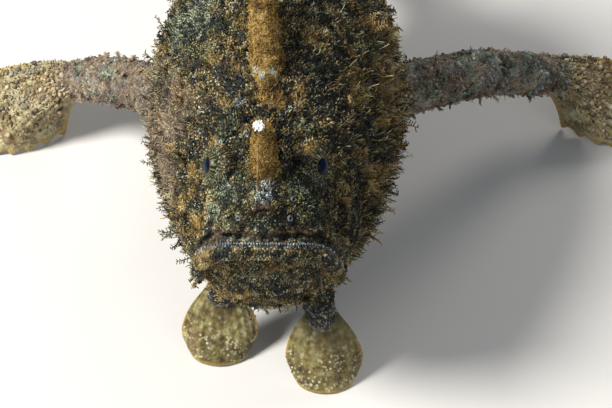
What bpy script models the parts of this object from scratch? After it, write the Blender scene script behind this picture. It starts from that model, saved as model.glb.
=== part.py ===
"""Painted frogfish, life size, resting on its pelvic and pectoral fins with the head raised.

Metres, +Z up. The fish faces -Y, its left side is +X, and the floor is at Z = 0.
Body places are (x, s, z) in hundredths of the standard length: x to the fish's left, s back from
the snout, z above the body axis. Limb places are (x, y, h) in the same unit, h above the floor.
"""

import math
import random

import bmesh
import bpy
import numpy as np
from mathutils import Matrix, Vector
from mathutils.bvhtree import BVHTree

# Driving dimensions
STANDARD_LENGTH = 0.120
UNIT = STANDARD_LENGTH / 100
HEAD_UP = math.radians(8)
AXIS_HEIGHT = 40.0
BEND = 0.0013
BEND_FROM = 30.0
GAP = 0.0003
CUT = 0.00045

# Body outline: s, top, bottom, half width
STATIONS = (
    (1.6, 5.0, 1.6, 2.6),
    (2.5, 8.0, -2.4, 6.0),
    (4.0, 11.2, -6.6, 8.7),
    (6.0, 13.5, -10.2, 10.4),
    (9.0, 15.7, -14.2, 12.0),
    (14.0, 18.6, -19.0, 14.2),
    (20.0, 21.7, -22.6, 17.0),
    (30.0, 26.4, -26.2, 20.6),
    (45.0, 30.0, -28.0, 22.6),
    (60.0, 28.0, -26.0, 20.4),
    (75.0, 20.6, -19.8, 14.2),
    (87.0, 11.8, -12.0, 7.6),
    (95.0, 7.6, -7.6, 4.6),
    (101.0, 7.4, -7.4, 3.6),
)
SECTION_POWER = 2.15
RINGS = 60
RING_POINTS = 44
BODY_VOXEL = 0.0006
SPINE_VOXEL = 0.0005
SKIN_SMOOTHING = 3
BODY_TRIANGLES = 3300
SECOND_SPINE_TRIANGLES = 320
THIRD_SPINE_TRIANGLES = 400
FACE_FINENESS = 0.001
FACE_ENDS_AT = 17.0
SEED = 7
BODY_PARTS = ("lower_jaw", "head", "torso", "tail_stalk")

# Mouth: nearly straight across, then bent down to its corners
MOUTH_MIDDLE = (2.5, 7.2)
MOUTH_CORNER = (9.5, -4.4)
MOUTH_HALF_WIDTH = 11.5
MOUTH_STRAIGHTNESS = 4.0
LIP_RADIUS = 1.3
LIP_APART = 1.2
JAW_CUT = ((-3.0, 16.2), (2.5, 7.2), (9.5, -4.4), (13.0, -10.4), (16.0, -30.0))
TORSO_CUT = ((33.0, -45.0), (33.0, 50.0))
STALK_CUT = ((92.5, -30.0), (92.5, 30.0))

# Lumps of the head and shoulders: place and radii; those of SIDE_LUMPS are on both sides
MIDDLE_LUMPS = {
    "nose": ((0.0, 6.2, 11.6), (3.6, 2.8, 2.5)),
    "chin": ((0.0, 7.8, -4.8), (9.2, 5.0, 6.4)),
    "crown": ((0.0, 17.0, 17.4), (3.6, 5.0, 3.6)),
}
SIDE_LUMPS = {
    "orbit": ((5.9, 13.5, 13.3), (3.6, 4.4, 3.9)),
    "mouth_corner": ((11.7, 10.3, -5.6), (1.5, 2.0, 2.5)),
    "cheek": ((10.6, 17.0, 0.5), (5.2, 10.0, 9.0)),
    "nostril": ((4.3, 4.6, 10.6), (0.75, 0.9, 0.9)),
    "shoulder": ((16.5, 49.0, -5.0), (7.0, 9.0, 9.0)),
}

# Eyes
EYE_RADIUS = 2.6
EYE_AT = (8.1, 12.85, 13.96)
EYE_LOOK = (0.86, -0.38, 0.34)
EYE_SUNK = 0.7
RIM_RADIUS = 0.8
RIM_FORWARD = 0.95

# Dorsal spines and the lure
SECOND_SPINE = ((0.0, 10.4, 12.0), (0.0, 9.8, 16.5), (0.0, 9.0, 21.0), (0.0, 8.5, 24.6))
SECOND_RADII = (2.8, 2.5, 2.6, 1.9)
THIRD_SPINE = ((0.0, 23.5, 19.5), (-0.3, 27.5, 26.5), (-0.8, 32.0, 32.5), (-1.4, 38.5, 38.5))
THIRD_RADII = (3.6, 3.0, 2.5, 1.4)
SECOND_KNOB = (1.7, 1.7, 1.5)
THIRD_KNOB = (1.6, 1.9, 1.7)
# The fold of skin behind each spine: place and radii
SECOND_WEB = ((0.0, 12.75, 16.5), (1.0, 3.6, 4.2))
THIRD_WEB = ((-0.3, 32.25, 25.75), (1.3, 6.8, 6.4))
LURE_ROD = ((-0.9, 7.2, 13.0), (-1.1, 5.2, 18.0), (-1.1, 4.9, 23.4), (-0.8, 5.8, 27.6))
LURE_RADIUS = 0.34
LURE_TIP_RADIUS = 0.85
LURE_TIP_FROM_ROD = (-0.25, 0.4, 0.9)

# Paired limbs for the fish's left (+1) and right (-1) sides
ARM = {
    1: ((13.0, 50.5, 28.5), (24.3, 56.0, 27.8), (38.4, 64.0, 23.8), (51.0, 73.2, 14.1)),
    -1: ((-13.0, 50.0, 28.5), (-22.0, 54.5, 27.8), (-30.8, 61.8, 23.6), (-39.4, 70.5, 14.9)),
}
ARM_RADII = (6.0, 5.3, 4.9, 4.3)
HAND_RAYS = 10
HAND_ROOT_WIDTH = 7.2
# Where a hand's rays end: outwards and backwards from the wrist, and above the floor
HAND_TIPS = ((5.0, -1.0, 0.25), (12.5, -6.0, 0.25), (20.0, -6.0, 0.25), (25.0, 2.5, 1.5), (23.5, 10.0, 5.0))
LEG = {
    1: ((5.5, 22.0, 22.0), (7.2, 18.8, 16.5), (8.6, 15.4, 11.0)),
    -1: ((-5.5, 24.0, 22.0), (-7.8, 22.0, 16.5), (-9.4, 20.4, 11.5)),
}
LEG_RADII = (3.9, 3.7, 3.0)
FOOT_TIP = {1: 6.6, -1: 12.4}
FOOT_RAYS = 6
FOOT_HALF_WIDTH = 6.6
FOOT_FAN = 72.0
FOOT_ROOT_WIDTH = 5.0
FOOT_EDGE_LIFT = 5.5

# Fins: thickness at the rays, between them, and the share of it left at the margin
RAY_THICKNESS = 1.25
WEB_THICKNESS = 0.6
TIP_SHARE = 0.5
FIN_LIFT = 0.25
TAIL_RAYS = 9
TAIL_FAN = 34.0
TAIL_LENGTH = 26.0
TAIL_ROUNDING = 5.0
TAIL_HALF_ROOT = 6.4
TAIL_START = 101.0
DORSAL_RAYS = 12
DORSAL_FROM = 43.5
DORSAL_RUN = 46.5
DORSAL_LENGTH = (10.5, 7.5)
DORSAL_LEAN = (62.0, 28.0)
ANAL_RAYS = 7
ANAL_FROM = 70.0
ANAL_RUN = 20.0
ANAL_LENGTH = (10.0, 4.5)
ANAL_LEAN = (20.0, 16.0)

# Skin growths: flat clumps of three points, on a stem that is sunk in the skin
CLUMP_LEFT = ((-0.30, 0.0), (-0.46, 0.52))
CLUMP_RIGHT = ((0.44, 0.46), (0.30, 0.0))
CLUMP_TOP = ((-0.58, 0.84), (-0.17, 0.60), (0.03, 1.0), (0.20, 0.58), (0.56, 0.78))
CLUMP_TRIANGLES = ((1, 2, 3), (3, 4, 5), (5, 6, 7), (1, 3, 7), (3, 5, 7), (0, 1, 7), (0, 7, 8))
CLUMP_TIPS = (2, 4, 6)
CLUMP_THICKNESS = 0.62
CLUMP_SUNK = 1.0
CLUMP_CLEARANCE = 0.42
CLUMP_TILT = (24.0, 50.0)
CLUMP_DROOP = 0.3
PLANTING_TRIES = 1500
FLOOR_CLEARANCE = 0.9
BARE_ROUND_EYE = 5.2
BARE_ROUND_MOUTH = 3.4
GROWTHS = (
    # node, spacing, length, width
    ("head", 6.3, 4.3, 4.2),
    ("torso", 8.5, 5.2, 5.0),
    ("lower_jaw", 4.8, 3.6, 3.4),
    ("tail_stalk", 5.4, 3.6, 3.4),
    ("pectoral_arm_left", 6.0, 3.8, 3.6),
    ("pectoral_arm_right", 6.0, 3.8, 3.6),
    ("second_dorsal_spine", 3.7, 2.4, 2.5),
    ("third_dorsal_spine", 4.2, 2.8, 2.8),
)


def sideways(s):
    """The tail's gentle swing towards the fish's left."""
    return BEND * max(0.0, s - BEND_FROM) ** 2


def fish(x, s, z):
    """World point of a place on the body."""
    y = s * math.cos(HEAD_UP) + z * math.sin(HEAD_UP)
    up = z * math.cos(HEAD_UP) - s * math.sin(HEAD_UP) + AXIS_HEIGHT
    return Vector((x + sideways(s), y, up)) * UNIT


def floor_place(x, y, h):
    """World point of a place on a limb."""
    return Vector((x, y, h)) * UNIT


def outline(s):
    """Top, bottom and half width of the body at s, smooth through the stations."""
    table = np.array(STATIONS)
    slopes = np.gradient(table[:, 1:], table[:, 0], axis=0)
    i = int(np.clip(np.searchsorted(table[:, 0], s) - 1, 0, len(table) - 2))
    span = table[i + 1, 0] - table[i, 0]
    t = (s - table[i, 0]) / span
    ends = (table[i, 1:], slopes[i] * span, table[i + 1, 1:], slopes[i + 1] * span)
    weights = (
        2 * t**3 - 3 * t**2 + 1,
        t**3 - 2 * t**2 + t,
        3 * t**2 - 2 * t**3,
        t**3 - t**2,
    )
    return sum(w * e for w, e in zip(weights, ends))


def smooth_path(points, count):
    """Catmull-Rom points through the given ones; each point is a tuple of numbers."""
    p = np.array(points, float)
    p = np.vstack([2 * p[0] - p[1], p, 2 * p[-1] - p[-2]])
    made = []
    for k in range(count):
        at = k / (count - 1) * (len(p) - 3)
        i = min(int(at), len(p) - 4)
        t = at - i
        a, b, c, d = p[i : i + 4]
        made.append(
            0.5 * (2 * b + (c - a) * t + (2 * a - 5 * b + 4 * c - d) * t**2 + (3 * b - a - 3 * c + d) * t**3)
        )
    return made


def link_mesh(name, mesh):
    obj = bpy.data.objects.new(name, mesh)
    bpy.context.scene.collection.objects.link(obj)
    return obj


def mesh_from(name, points, faces):
    mesh = bpy.data.meshes.new(name)
    mesh.from_pydata([tuple(p) for p in points], [], faces)
    mesh.validate()
    bm = bmesh.new()
    bm.from_mesh(mesh)
    bmesh.ops.recalc_face_normals(bm, faces=bm.faces)
    bm.to_mesh(mesh)
    bm.free()
    return mesh


def loft(name, rings):
    """A closed body through rings of equally many points, with a flat cap at each end."""
    count = len(rings[0])
    points = [p for ring in rings for p in ring]
    faces = [tuple(range(count))]
    for r in range(len(rings) - 1):
        for k in range(count):
            a, b = r * count + k, r * count + (k + 1) % count
            faces.append((a, b, b + count, a + count))
    last = (len(rings) - 1) * count
    faces.append(tuple(last + k for k in reversed(range(count))))
    return link_mesh(name, mesh_from(name, points, faces))


def trunk():
    """The body from the chin to the tail-fin base as one loft of rounded sections."""
    low, high = STATIONS[0][0], STATIONS[-1][0]
    rings = []
    for r in range(RINGS):
        s = low + (high - low) * (r / (RINGS - 1)) ** 1.5
        top, bottom, half = outline(s)
        ring = []
        for k in range(RING_POINTS):
            a = 2 * math.pi * k / RING_POINTS
            c, d = math.cos(a), math.sin(a)
            x = half * math.copysign(abs(c) ** (2 / SECTION_POWER), c)
            z = (top + bottom) / 2 + (top - bottom) / 2 * math.copysign(abs(d) ** (2 / SECTION_POWER), d)
            ring.append(fish(x, s, z))
        rings.append(ring)
    return loft("trunk", rings)


def tube(name, path, radii, count=12, sides=3):
    """A closed tube of varying radius through world points, from a bevelled curve."""
    line = smooth_path([(*p, r) for p, r in zip(path, radii)], count)
    curve = bpy.data.curves.new(name, "CURVE")
    curve.dimensions = "3D"
    curve.bevel_depth = 1.0
    curve.bevel_resolution = sides
    curve.use_fill_caps = True
    spline = curve.splines.new("POLY")
    spline.points.add(count - 1)
    for point, (x, y, z, radius) in zip(spline.points, line):
        point.co = (x, y, z, 1)
        point.radius = max(radius, 1e-5)
    drawn = link_mesh(name + "_curve", curve)
    obj = link_mesh(name, evaluated_mesh(drawn))
    bpy.data.objects.remove(drawn)
    bm = bmesh.new()
    bm.from_mesh(obj.data)
    bmesh.ops.remove_doubles(bm, verts=bm.verts, dist=1e-6)
    bmesh.ops.recalc_face_normals(bm, faces=bm.faces)
    bm.to_mesh(obj.data)
    bm.free()
    return obj


def ellipsoid(name, centre, radii, segments=24, rings=16):
    mesh = bpy.data.meshes.new(name)
    bm = bmesh.new()
    matrix = Matrix.Translation(centre) @ Matrix.Diagonal((*radii, 1.0))
    bmesh.ops.create_uvsphere(bm, u_segments=segments, v_segments=rings, radius=1.0, matrix=matrix)
    bm.to_mesh(mesh)
    bm.free()
    return link_mesh(name, mesh)


def body_lump(name, place, radii):
    return ellipsoid(name, fish(*place), [r * UNIT for r in radii])


def evaluated_mesh(obj):
    graph = bpy.context.evaluated_depsgraph_get()
    graph.update()
    return bpy.data.meshes.new_from_object(obj.evaluated_get(graph), depsgraph=graph)


def apply_modifiers(obj):
    mesh = evaluated_mesh(obj)
    obj.modifiers.clear()
    obj.data = mesh
    return obj


def boolean(obj, others, operation, solver="MANIFOLD"):
    """Joins or cuts obj with a collection of closed meshes, which are then removed."""
    tools = bpy.data.collections.new("tools")
    bpy.context.scene.collection.children.link(tools)
    for other in others:
        tools.objects.link(other)
    modifier = obj.modifiers.new("Boolean", "BOOLEAN")
    modifier.operation = operation
    modifier.operand_type = "COLLECTION"
    modifier.collection = tools
    modifier.solver = solver
    apply_modifiers(obj)
    for other in others:
        bpy.data.objects.remove(other)
    bpy.data.collections.remove(tools)
    return obj


def islands(obj):
    """The object's closed surfaces, each a new object, largest first."""
    bm = bmesh.new()
    bm.from_mesh(obj.data)
    bm.verts.ensure_lookup_table()
    left, found = set(range(len(bm.verts))), []
    while left:
        stack, group = [left.pop()], set()
        while stack:
            v = stack.pop()
            group.add(v)
            near = {e.other_vert(bm.verts[v]).index for e in bm.verts[v].link_edges} & left
            left -= near
            stack.extend(near)
        found.append(group)
    found.sort(key=len, reverse=True)
    made = []
    for group in found:
        part = bm.copy()
        part.verts.ensure_lookup_table()
        bmesh.ops.delete(part, geom=[v for v in part.verts if v.index not in group], context="VERTS")
        mesh = bpy.data.meshes.new(obj.name)
        part.to_mesh(mesh)
        part.free()
        made.append(link_mesh(obj.name, mesh))
    bm.free()
    bpy.data.objects.remove(obj)
    return made


def largest(obj):
    name, pieces = obj.name, islands(obj)
    for scrap in pieces[1:]:
        bpy.data.objects.remove(scrap)
    pieces[0].name = name
    return pieces[0]


def joined(objects, name):
    """One mesh object that holds the given ones."""
    bm = bmesh.new()
    for obj in objects:
        bm.from_mesh(obj.data)
        bpy.data.objects.remove(obj)
    mesh = bpy.data.meshes.new(name)
    bm.to_mesh(mesh)
    bm.free()
    return link_mesh(name, mesh)


def thinned(obj, triangles, fine_until=None):
    """Fewer triangles, kept where the surface bends most and ahead of a given s."""
    now = sum(len(p.vertices) - 2 for p in obj.data.polygons)
    modifier = obj.modifiers.new("Decimate", "DECIMATE")
    modifier.ratio = min(1.0, triangles / now)
    if fine_until is not None:
        coarse = obj.vertex_groups.new(name="coarse")
        edge = fish(0, fine_until, 0).y
        for vertex in obj.data.vertices:
            coarse.add([vertex.index], 0.5 if vertex.co.y < edge else 1.0, "REPLACE")
        modifier.vertex_group = coarse.name
        modifier.vertex_group_factor = FACE_FINENESS
    return apply_modifiers(obj)


def grown(obj, by):
    """A copy with every point moved out along its normal."""
    mesh = obj.data.copy()
    normals = [v.normal.copy() for v in mesh.vertices]
    for vertex, normal in zip(mesh.vertices, normals):
        vertex.co += normal * by
    return link_mesh(obj.name + "_grown", mesh)


def mouth_line(t, offset):
    """Point of the mouth line, t from -1 to 1; offset is across the cut, positive into the snout."""
    turn = math.sin(t * math.pi / 2)
    x = MOUTH_HALF_WIDTH * turn
    drop = 1 - math.sqrt(1 - abs(turn) ** MOUTH_STRAIGHTNESS)
    run = MOUTH_CORNER[0] - MOUTH_MIDDLE[0]
    fall = MOUTH_CORNER[1] - MOUTH_MIDDLE[1]
    across = Vector((-fall, run)).normalized() * offset
    return fish(x, MOUTH_MIDDLE[0] + run * drop + across.x, MOUTH_MIDDLE[1] + fall * drop + across.y)


def lips():
    made = []
    for offset in (LIP_APART, -LIP_APART):
        path = [mouth_line(-1 + 2 * k / 10, offset) for k in range(11)]
        made.append(tube("lip", path, [LIP_RADIUS * UNIT] * 11, count=30))
    return made


def eye_centre(side):
    x, s, z = EYE_AT
    look = Vector(EYE_LOOK).normalized() * -EYE_SUNK
    return fish(side * (x + look.x), s + look.y, z + look.z)


def eye_direction(side):
    out, back, up = EYE_LOOK
    return (fish(side * out, back, up) - fish(0, 0, 0)).normalized()


def eye_rim(side):
    """A raised ring of skin round the eye."""
    look = eye_direction(side)
    across = look.cross(Vector((0, 0, 1))).normalized()
    up = across.cross(look)
    centre = eye_centre(side) + look * RIM_FORWARD * UNIT
    radius = EYE_RADIUS * 1.02 * UNIT
    path = []
    for k in range(25):
        a = 2 * math.pi * k / 24
        path.append(centre + (across * math.cos(a) + up * math.sin(a)) * radius)
    return tube("rim", path, [RIM_RADIUS * UNIT] * 25, count=49)


def head_forms():
    """Lips, eye rims and the lumps of the head and shoulders."""
    forms = lips()
    for side in (1, -1):
        forms.append(eye_rim(side))
        for name, ((x, s, z), radii) in SIDE_LUMPS.items():
            forms.append(body_lump(name, (side * x, s, z), radii))
    for name, (place, radii) in MIDDLE_LUMPS.items():
        forms.append(body_lump(name, place, radii))
    return forms


def fused(objects, name, voxel):
    """One closed skin over overlapping forms."""
    obj = joined(objects, name)
    remesh = obj.modifiers.new("Remesh", "REMESH")
    remesh.mode = "VOXEL"
    remesh.voxel_size = voxel
    apply_modifiers(obj)
    smooth = obj.modifiers.new("Smooth", "SMOOTH")
    smooth.factor = 0.5
    smooth.iterations = SKIN_SMOOTHING
    return largest(apply_modifiers(obj))


def slab(line, name):
    """A thin bent wall across the body, along a line of (s, z) places, used as a cutter."""
    wide = 45.0
    line = [Vector((s * UNIT, z * UNIT)) for s, z in line]
    sides = []
    for k, point in enumerate(line):
        before, after = line[max(k - 1, 0)], line[min(k + 1, len(line) - 1)]
        along = (after - before).normalized()
        sides.append(Vector((-along.y, along.x)) * CUT / 2)
    rings = []
    for point, side in zip(line, sides):
        near, far = (point - side) / UNIT, (point + side) / UNIT
        rings.append([
            fish(-wide, near.x, near.y), fish(wide, near.x, near.y),
            fish(wide, far.x, far.y), fish(-wide, far.x, far.y),
        ])
    return loft(name, rings)


def ray_grid(bases, knees, tips, rows, notch, per_ray):
    """Grid of places over a fin: columns run across its rays, rows from root to margin."""
    columns = (len(bases) - 1) * per_ray + 1
    roots, bends, ends = (smooth_path(p, columns) for p in (bases, knees, tips))
    grid = []
    for c in range(columns):
        b, k, e = Vector(roots[c]), Vector(bends[c]), Vector(ends[c])
        reach = 1.0 if c % per_ray == 0 else 1.0 - notch
        column = []
        for r in range(rows + 1):
            t = reach * r / rows
            column.append(b * (1 - t) ** 2 + k * 2 * t * (1 - t) + e * t**2)
        grid.append(column)
    return grid


def fin(name, bases, knees, tips, rows=6, notch=0.06, thickness=1.0, floor=None, per_ray=2):
    """A fin of rays raised as ridges on both faces of a thin web, in world points."""
    grid = ray_grid(bases, knees, tips, rows, notch, per_ray)
    columns = len(grid)
    faces_up, faces_down = [], []
    for c in range(columns):
        for r in range(rows + 1):
            along = grid[c][min(r + 1, rows)] - grid[c][max(r - 1, 0)]
            across = grid[min(c + 1, columns - 1)][r] - grid[max(c - 1, 0)][r]
            normal = across.cross(along).normalized()
            ridge = RAY_THICKNESS if c % per_ray == 0 else WEB_THICKNESS
            taper = 1.0 - (1.0 - TIP_SHARE) * r / rows
            half = max(ridge * thickness * taper, WEB_THICKNESS * 0.75) * UNIT / 2
            up, down = grid[c][r] + normal * half, grid[c][r] - normal * half
            if floor is not None:
                low, high = (down, up) if down.z < up.z else (up, down)
                low.z = max(low.z, floor)
                high.z = max(high.z, low.z + half)
            faces_up.append(up)
            faces_down.append(down)
    points = faces_up + faces_down
    under = len(faces_up)
    faces = []

    def at(c, r):
        return c * (rows + 1) + r

    for c in range(columns - 1):
        for r in range(rows):
            a, b, d, e = at(c, r), at(c + 1, r), at(c + 1, r + 1), at(c, r + 1)
            for triangle in ((a, b, d), (a, d, e)):
                faces.append(triangle)
                faces.append(tuple(under + v for v in reversed(triangle)))
    border = [at(c, 0) for c in range(columns)]
    border += [at(columns - 1, r) for r in range(1, rows + 1)]
    border += [at(c, rows) for c in reversed(range(columns - 1))]
    border += [at(0, r) for r in reversed(range(1, rows))]
    for a, b in zip(border, border[1:] + border[:1]):
        faces.append((b, a, under + a, under + b))
    return link_mesh(name, mesh_from(name, points, faces))


def shares(count):
    return [k / (count - 1) for k in range(count)]


def tail_fin():
    """A rounded fan of rays behind the tail stalk."""
    bases, knees, tips = [], [], []
    for u in shares(TAIL_RAYS):
        lift = 2 * u - 1
        spread = math.radians(TAIL_FAN) * lift
        length = TAIL_LENGTH - TAIL_ROUNDING * lift**2
        z = TAIL_HALF_ROOT * lift
        back, up = length * math.cos(spread), length * math.sin(spread)
        bases.append(fish(0, TAIL_START - 3.5, z * 0.9))
        knees.append(fish(0, TAIL_START + 0.45 * length * math.cos(spread * 0.6), z + 0.45 * up))
        tips.append(fish(0, TAIL_START + back, z + up))
    return fin("tail_fin", bases, knees, tips, rows=6)


def dorsal_fin():
    """A long fin along the back, tallest past its middle, that leans further back towards the tail."""
    bases, knees, tips = [], [], []
    for u in shares(DORSAL_RAYS):
        s = DORSAL_FROM + DORSAL_RUN * u
        top = outline(s)[0]
        length = DORSAL_LENGTH[0] + DORSAL_LENGTH[1] * math.sin(math.pi * min(1.0, u * 1.15 + 0.1))
        lean = math.radians(DORSAL_LEAN[0] + (DORSAL_LEAN[1] - DORSAL_LEAN[0]) * u)
        back, up = length * math.cos(lean), length * math.sin(lean)
        wave = 0.7 * math.sin(5 * u)
        bases.append(fish(0, s - 1.2, top - 2.4))
        knees.append(fish(wave * 0.4, s + 0.35 * back, top + 0.55 * up))
        tips.append(fish(wave, s + back, top + up))
    return fin("dorsal_fin", bases, knees, tips, rows=4, notch=0.08)


def anal_fin():
    """The short fin under the tail, laid back."""
    bases, knees, tips = [], [], []
    for u in shares(ANAL_RAYS):
        s = ANAL_FROM + ANAL_RUN * u
        bottom = outline(s)[1]
        length = ANAL_LENGTH[0] + ANAL_LENGTH[1] * math.sin(math.pi * min(1.0, u * 0.9 + 0.2))
        lean = math.radians(ANAL_LEAN[0] + (ANAL_LEAN[1] - ANAL_LEAN[0]) * u)
        back, down = length * math.cos(lean), length * math.sin(lean)
        bases.append(fish(0, s - 1.5, bottom + 2.2))
        knees.append(fish(0, s + 0.4 * back, bottom - 0.5 * down))
        tips.append(fish(0.8, s + back, bottom - down))
    return fin("anal_fin", bases, knees, tips, rows=4, notch=0.07)


def hand(side):
    """The pectoral fin proper: rays that fan out and down from the wrist, most of them to the floor."""
    x, y, h = ARM[side][-1]
    ends = smooth_path(HAND_TIPS, HAND_RAYS)
    bases, knees, tips = [], [], []
    for u, (out, back, lift) in zip(shares(HAND_RAYS), ends):
        bases.append(floor_place(x - side * 2.0, y + HAND_ROOT_WIDTH * (u - 0.5), h + 0.9))
        knees.append(floor_place(x + side * 0.6 * out, y + 0.5 + 0.6 * back, 0.8 * h + 0.5 * lift))
        tips.append(floor_place(x + side * out, y + back, lift))
    name = "pectoral_fin_" + ("left" if side > 0 else "right")
    return fin(name, bases, knees, tips, rows=6, notch=0.07, thickness=1.15, floor=0.0)


def foot(side):
    """The pelvic fin proper: a broad paddle that slopes down and lies flat at its margin."""
    x, y, h = LEG[side][-1]
    bases, knees, tips = [], [], []
    for u in shares(FOOT_RAYS):
        turn = math.radians(FOOT_FAN) * (2 * u - 1)
        wide = FOOT_HALF_WIDTH * math.sin(turn) / math.sin(math.radians(FOOT_FAN))
        reach = (y - FOOT_TIP[side]) * (0.34 + 0.66 * math.cos(turn))
        lift = FIN_LIFT + FOOT_EDGE_LIFT * max(0.0, 0.72 - math.cos(turn))
        bases.append(floor_place(x + FOOT_ROOT_WIDTH * (u - 0.5), y + 0.9, h + 1.2))
        knees.append(floor_place(x + side * 0.4 + wide * 0.95, y - 0.6 * reach, 0.55 * h))
        tips.append(floor_place(x + side * 0.6 + wide, y - reach, lift))
    name = "pelvic_fin_" + ("left" if side > 0 else "right")
    return fin(name, bases, knees, tips, rows=5, thickness=1.35, floor=0.0)


def limb(name, path, radii, place):
    return tube(name, [place(*p) for p in path], [r * UNIT for r in radii])


def spine(name, path, radii, knob, web):
    """A fleshy dorsal spine with a knob at its tip and a flat fold of skin behind it."""
    forms = [limb("stem", path, radii, fish), body_lump("knob", path[-1], knob), body_lump("web", *web)]
    return fused(forms, name, SPINE_VOXEL)


def clump(root, out, lie, length, width, rng):
    """One clump at a point of the skin, leaning from the outward normal towards the lie."""
    tilt = math.radians(rng.uniform(*CLUMP_TILT))
    along = (out * math.cos(tilt) + lie * math.sin(tilt)).normalized()
    across = Matrix.Rotation(rng.uniform(-1.0, 1.0), 3, along) @ along.cross(out).normalized()
    facing = across.cross(along)
    length, width = length * rng.uniform(0.75, 1.2), width * rng.uniform(0.85, 1.15)
    bend = (lie - along * lie.dot(along)) * length * CLUMP_DROOP
    base = root - out * CLUMP_SUNK * UNIT
    outline_points = CLUMP_LEFT + CLUMP_TOP + CLUMP_RIGHT
    points, front, back = [], [], []
    for k, (u, v) in enumerate(outline_points):
        place = base + (along * (length + CLUMP_SUNK) * v + across * width * u + bend * v * v) * UNIT
        half = facing * CLUMP_THICKNESS * UNIT / 2
        front.append(len(points))
        points.append(place if k in CLUMP_TIPS else place + half)
        if k not in CLUMP_TIPS:
            points.append(place - half)
        back.append(len(points) - 1)
    faces = [tuple(front[i] for i in t) for t in CLUMP_TRIANGLES]
    faces += [tuple(back[i] for i in reversed(t)) for t in CLUMP_TRIANGLES]
    for i in range(len(outline_points)):
        j = (i + 1) % len(outline_points)
        rim = (front[j], front[i], back[i], back[j])
        faces.append(tuple(dict.fromkeys(rim)))
    return link_mesh("clump", mesh_from("clump", points, faces))


def lie_of(name, point):
    """The way the growths lean: back and down on the body, out along the arms, up the spines."""
    side = math.copysign(1.0, point.x)
    if "arm" in name:
        return Vector((side * 0.7, 0.3, -0.6)).normalized()
    if "spine" in name:
        return Vector((0.0, 0.3, 0.95)).normalized()
    if name == "lower_jaw":
        return Vector((0.0, -0.3, -0.95)).normalized()
    return Vector((side * 0.1, 0.7, -0.5)).normalized()


def scattered(obj, spacing, rng, tries):
    """Random points of the surface at least spacing apart, each with its outward normal."""
    obj.data.calc_loop_triangles()
    triangles = list(obj.data.loop_triangles)
    chosen = []
    for triangle in rng.choices(triangles, [t.area for t in triangles], k=tries):
        a, b = sorted((rng.random(), rng.random()))
        corners = [obj.data.vertices[i].co for i in triangle.vertices]
        point = corners[0] * a + corners[1] * (b - a) + corners[2] * (1 - b)
        if all((point - other).length > spacing for other, _ in chosen):
            chosen.append((point, triangle.normal.copy()))
    return chosen


def tree_of(obj):
    bm = bmesh.new()
    bm.from_mesh(obj.data)
    tree = BVHTree.FromBMesh(bm)
    bm.free()
    return tree


def bare(point):
    """Whether a place is too near an eye or the mouth for a growth."""
    near_eye = min((point - eye_centre(side)).length for side in (1, -1)) < BARE_ROUND_EYE * UNIT
    lip = min((point - mouth_line(-1 + k / 10, 0)).length for k in range(21))
    return near_eye or lip < BARE_ROUND_MOUTH * UNIT


def add_growths(nodes):
    """Grows clumps over the flesh, clear of the floor, of the other nodes and of their clumps."""
    clearance = CLUMP_CLEARANCE * UNIT
    solids = {}
    for name, obj in nodes.items():
        wide = grown(obj, clearance)
        solids[name] = tree_of(wide)
        bpy.data.objects.remove(wide)
    placed = []
    for number, (name, spacing, length, width) in enumerate(GROWTHS):
        rng = random.Random(SEED + number)
        others = [tree for other, tree in solids.items() if other != name]
        made = []
        for point, normal in scattered(nodes[name], spacing * UNIT, rng, PLANTING_TRIES):
            if bare(point):
                continue
            new = clump(point, normal, lie_of(name, point), length, width, rng)
            tree = tree_of(new)
            low = min(v.co.z for v in new.data.vertices)
            wrong = low < FLOOR_CLEARANCE * UNIT
            wrong = wrong or any(tree.overlap(other) for other in others)
            wrong = wrong or any(tree.overlap(other) for owner, other in placed if owner != name)
            if wrong:
                bpy.data.objects.remove(new)
                continue
            made.append(new)
            placed.append((name, tree))
        nodes[name] = largest(boolean(nodes[name], made, "UNION"))


def cut_from(obj, carriers):
    """Trims obj's root so that it meets each carrier face to face with the gap between them."""
    for carrier in carriers:
        boolean(obj, [grown(carrier, GAP)], "DIFFERENCE")
    return largest(obj)


def material(name, colour, roughness):
    made = bpy.data.materials.new(name)
    made.use_nodes = True
    shader = made.node_tree.nodes["Principled BSDF"]
    shader.inputs["Base Color"].default_value = (*colour, 1.0)
    shader.inputs["Roughness"].default_value = roughness
    shader.inputs["Metallic"].default_value = 0.0
    return made


def body_nodes():
    """The body as one skin, parted by thin cuts into jaw, head, torso and tail stalk."""
    whole = thinned(fused([trunk()] + head_forms(), "body", BODY_VOXEL), BODY_TRIANGLES, FACE_ENDS_AT)
    cutters = [slab(JAW_CUT, "jaw_cut"), slab(TORSO_CUT, "torso_cut"), slab(STALK_CUT, "stalk_cut")]
    boolean(whole, cutters, "DIFFERENCE")
    parts = islands(whole)
    for scrap in parts[4:]:
        bpy.data.objects.remove(scrap)
    parts = sorted(parts[:4], key=lambda o: sum(v.co.y for v in o.data.vertices) / len(o.data.vertices))
    for part, name in zip(parts, BODY_PARTS):
        part.name = name
    return dict(zip(BODY_PARTS, parts))


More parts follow.
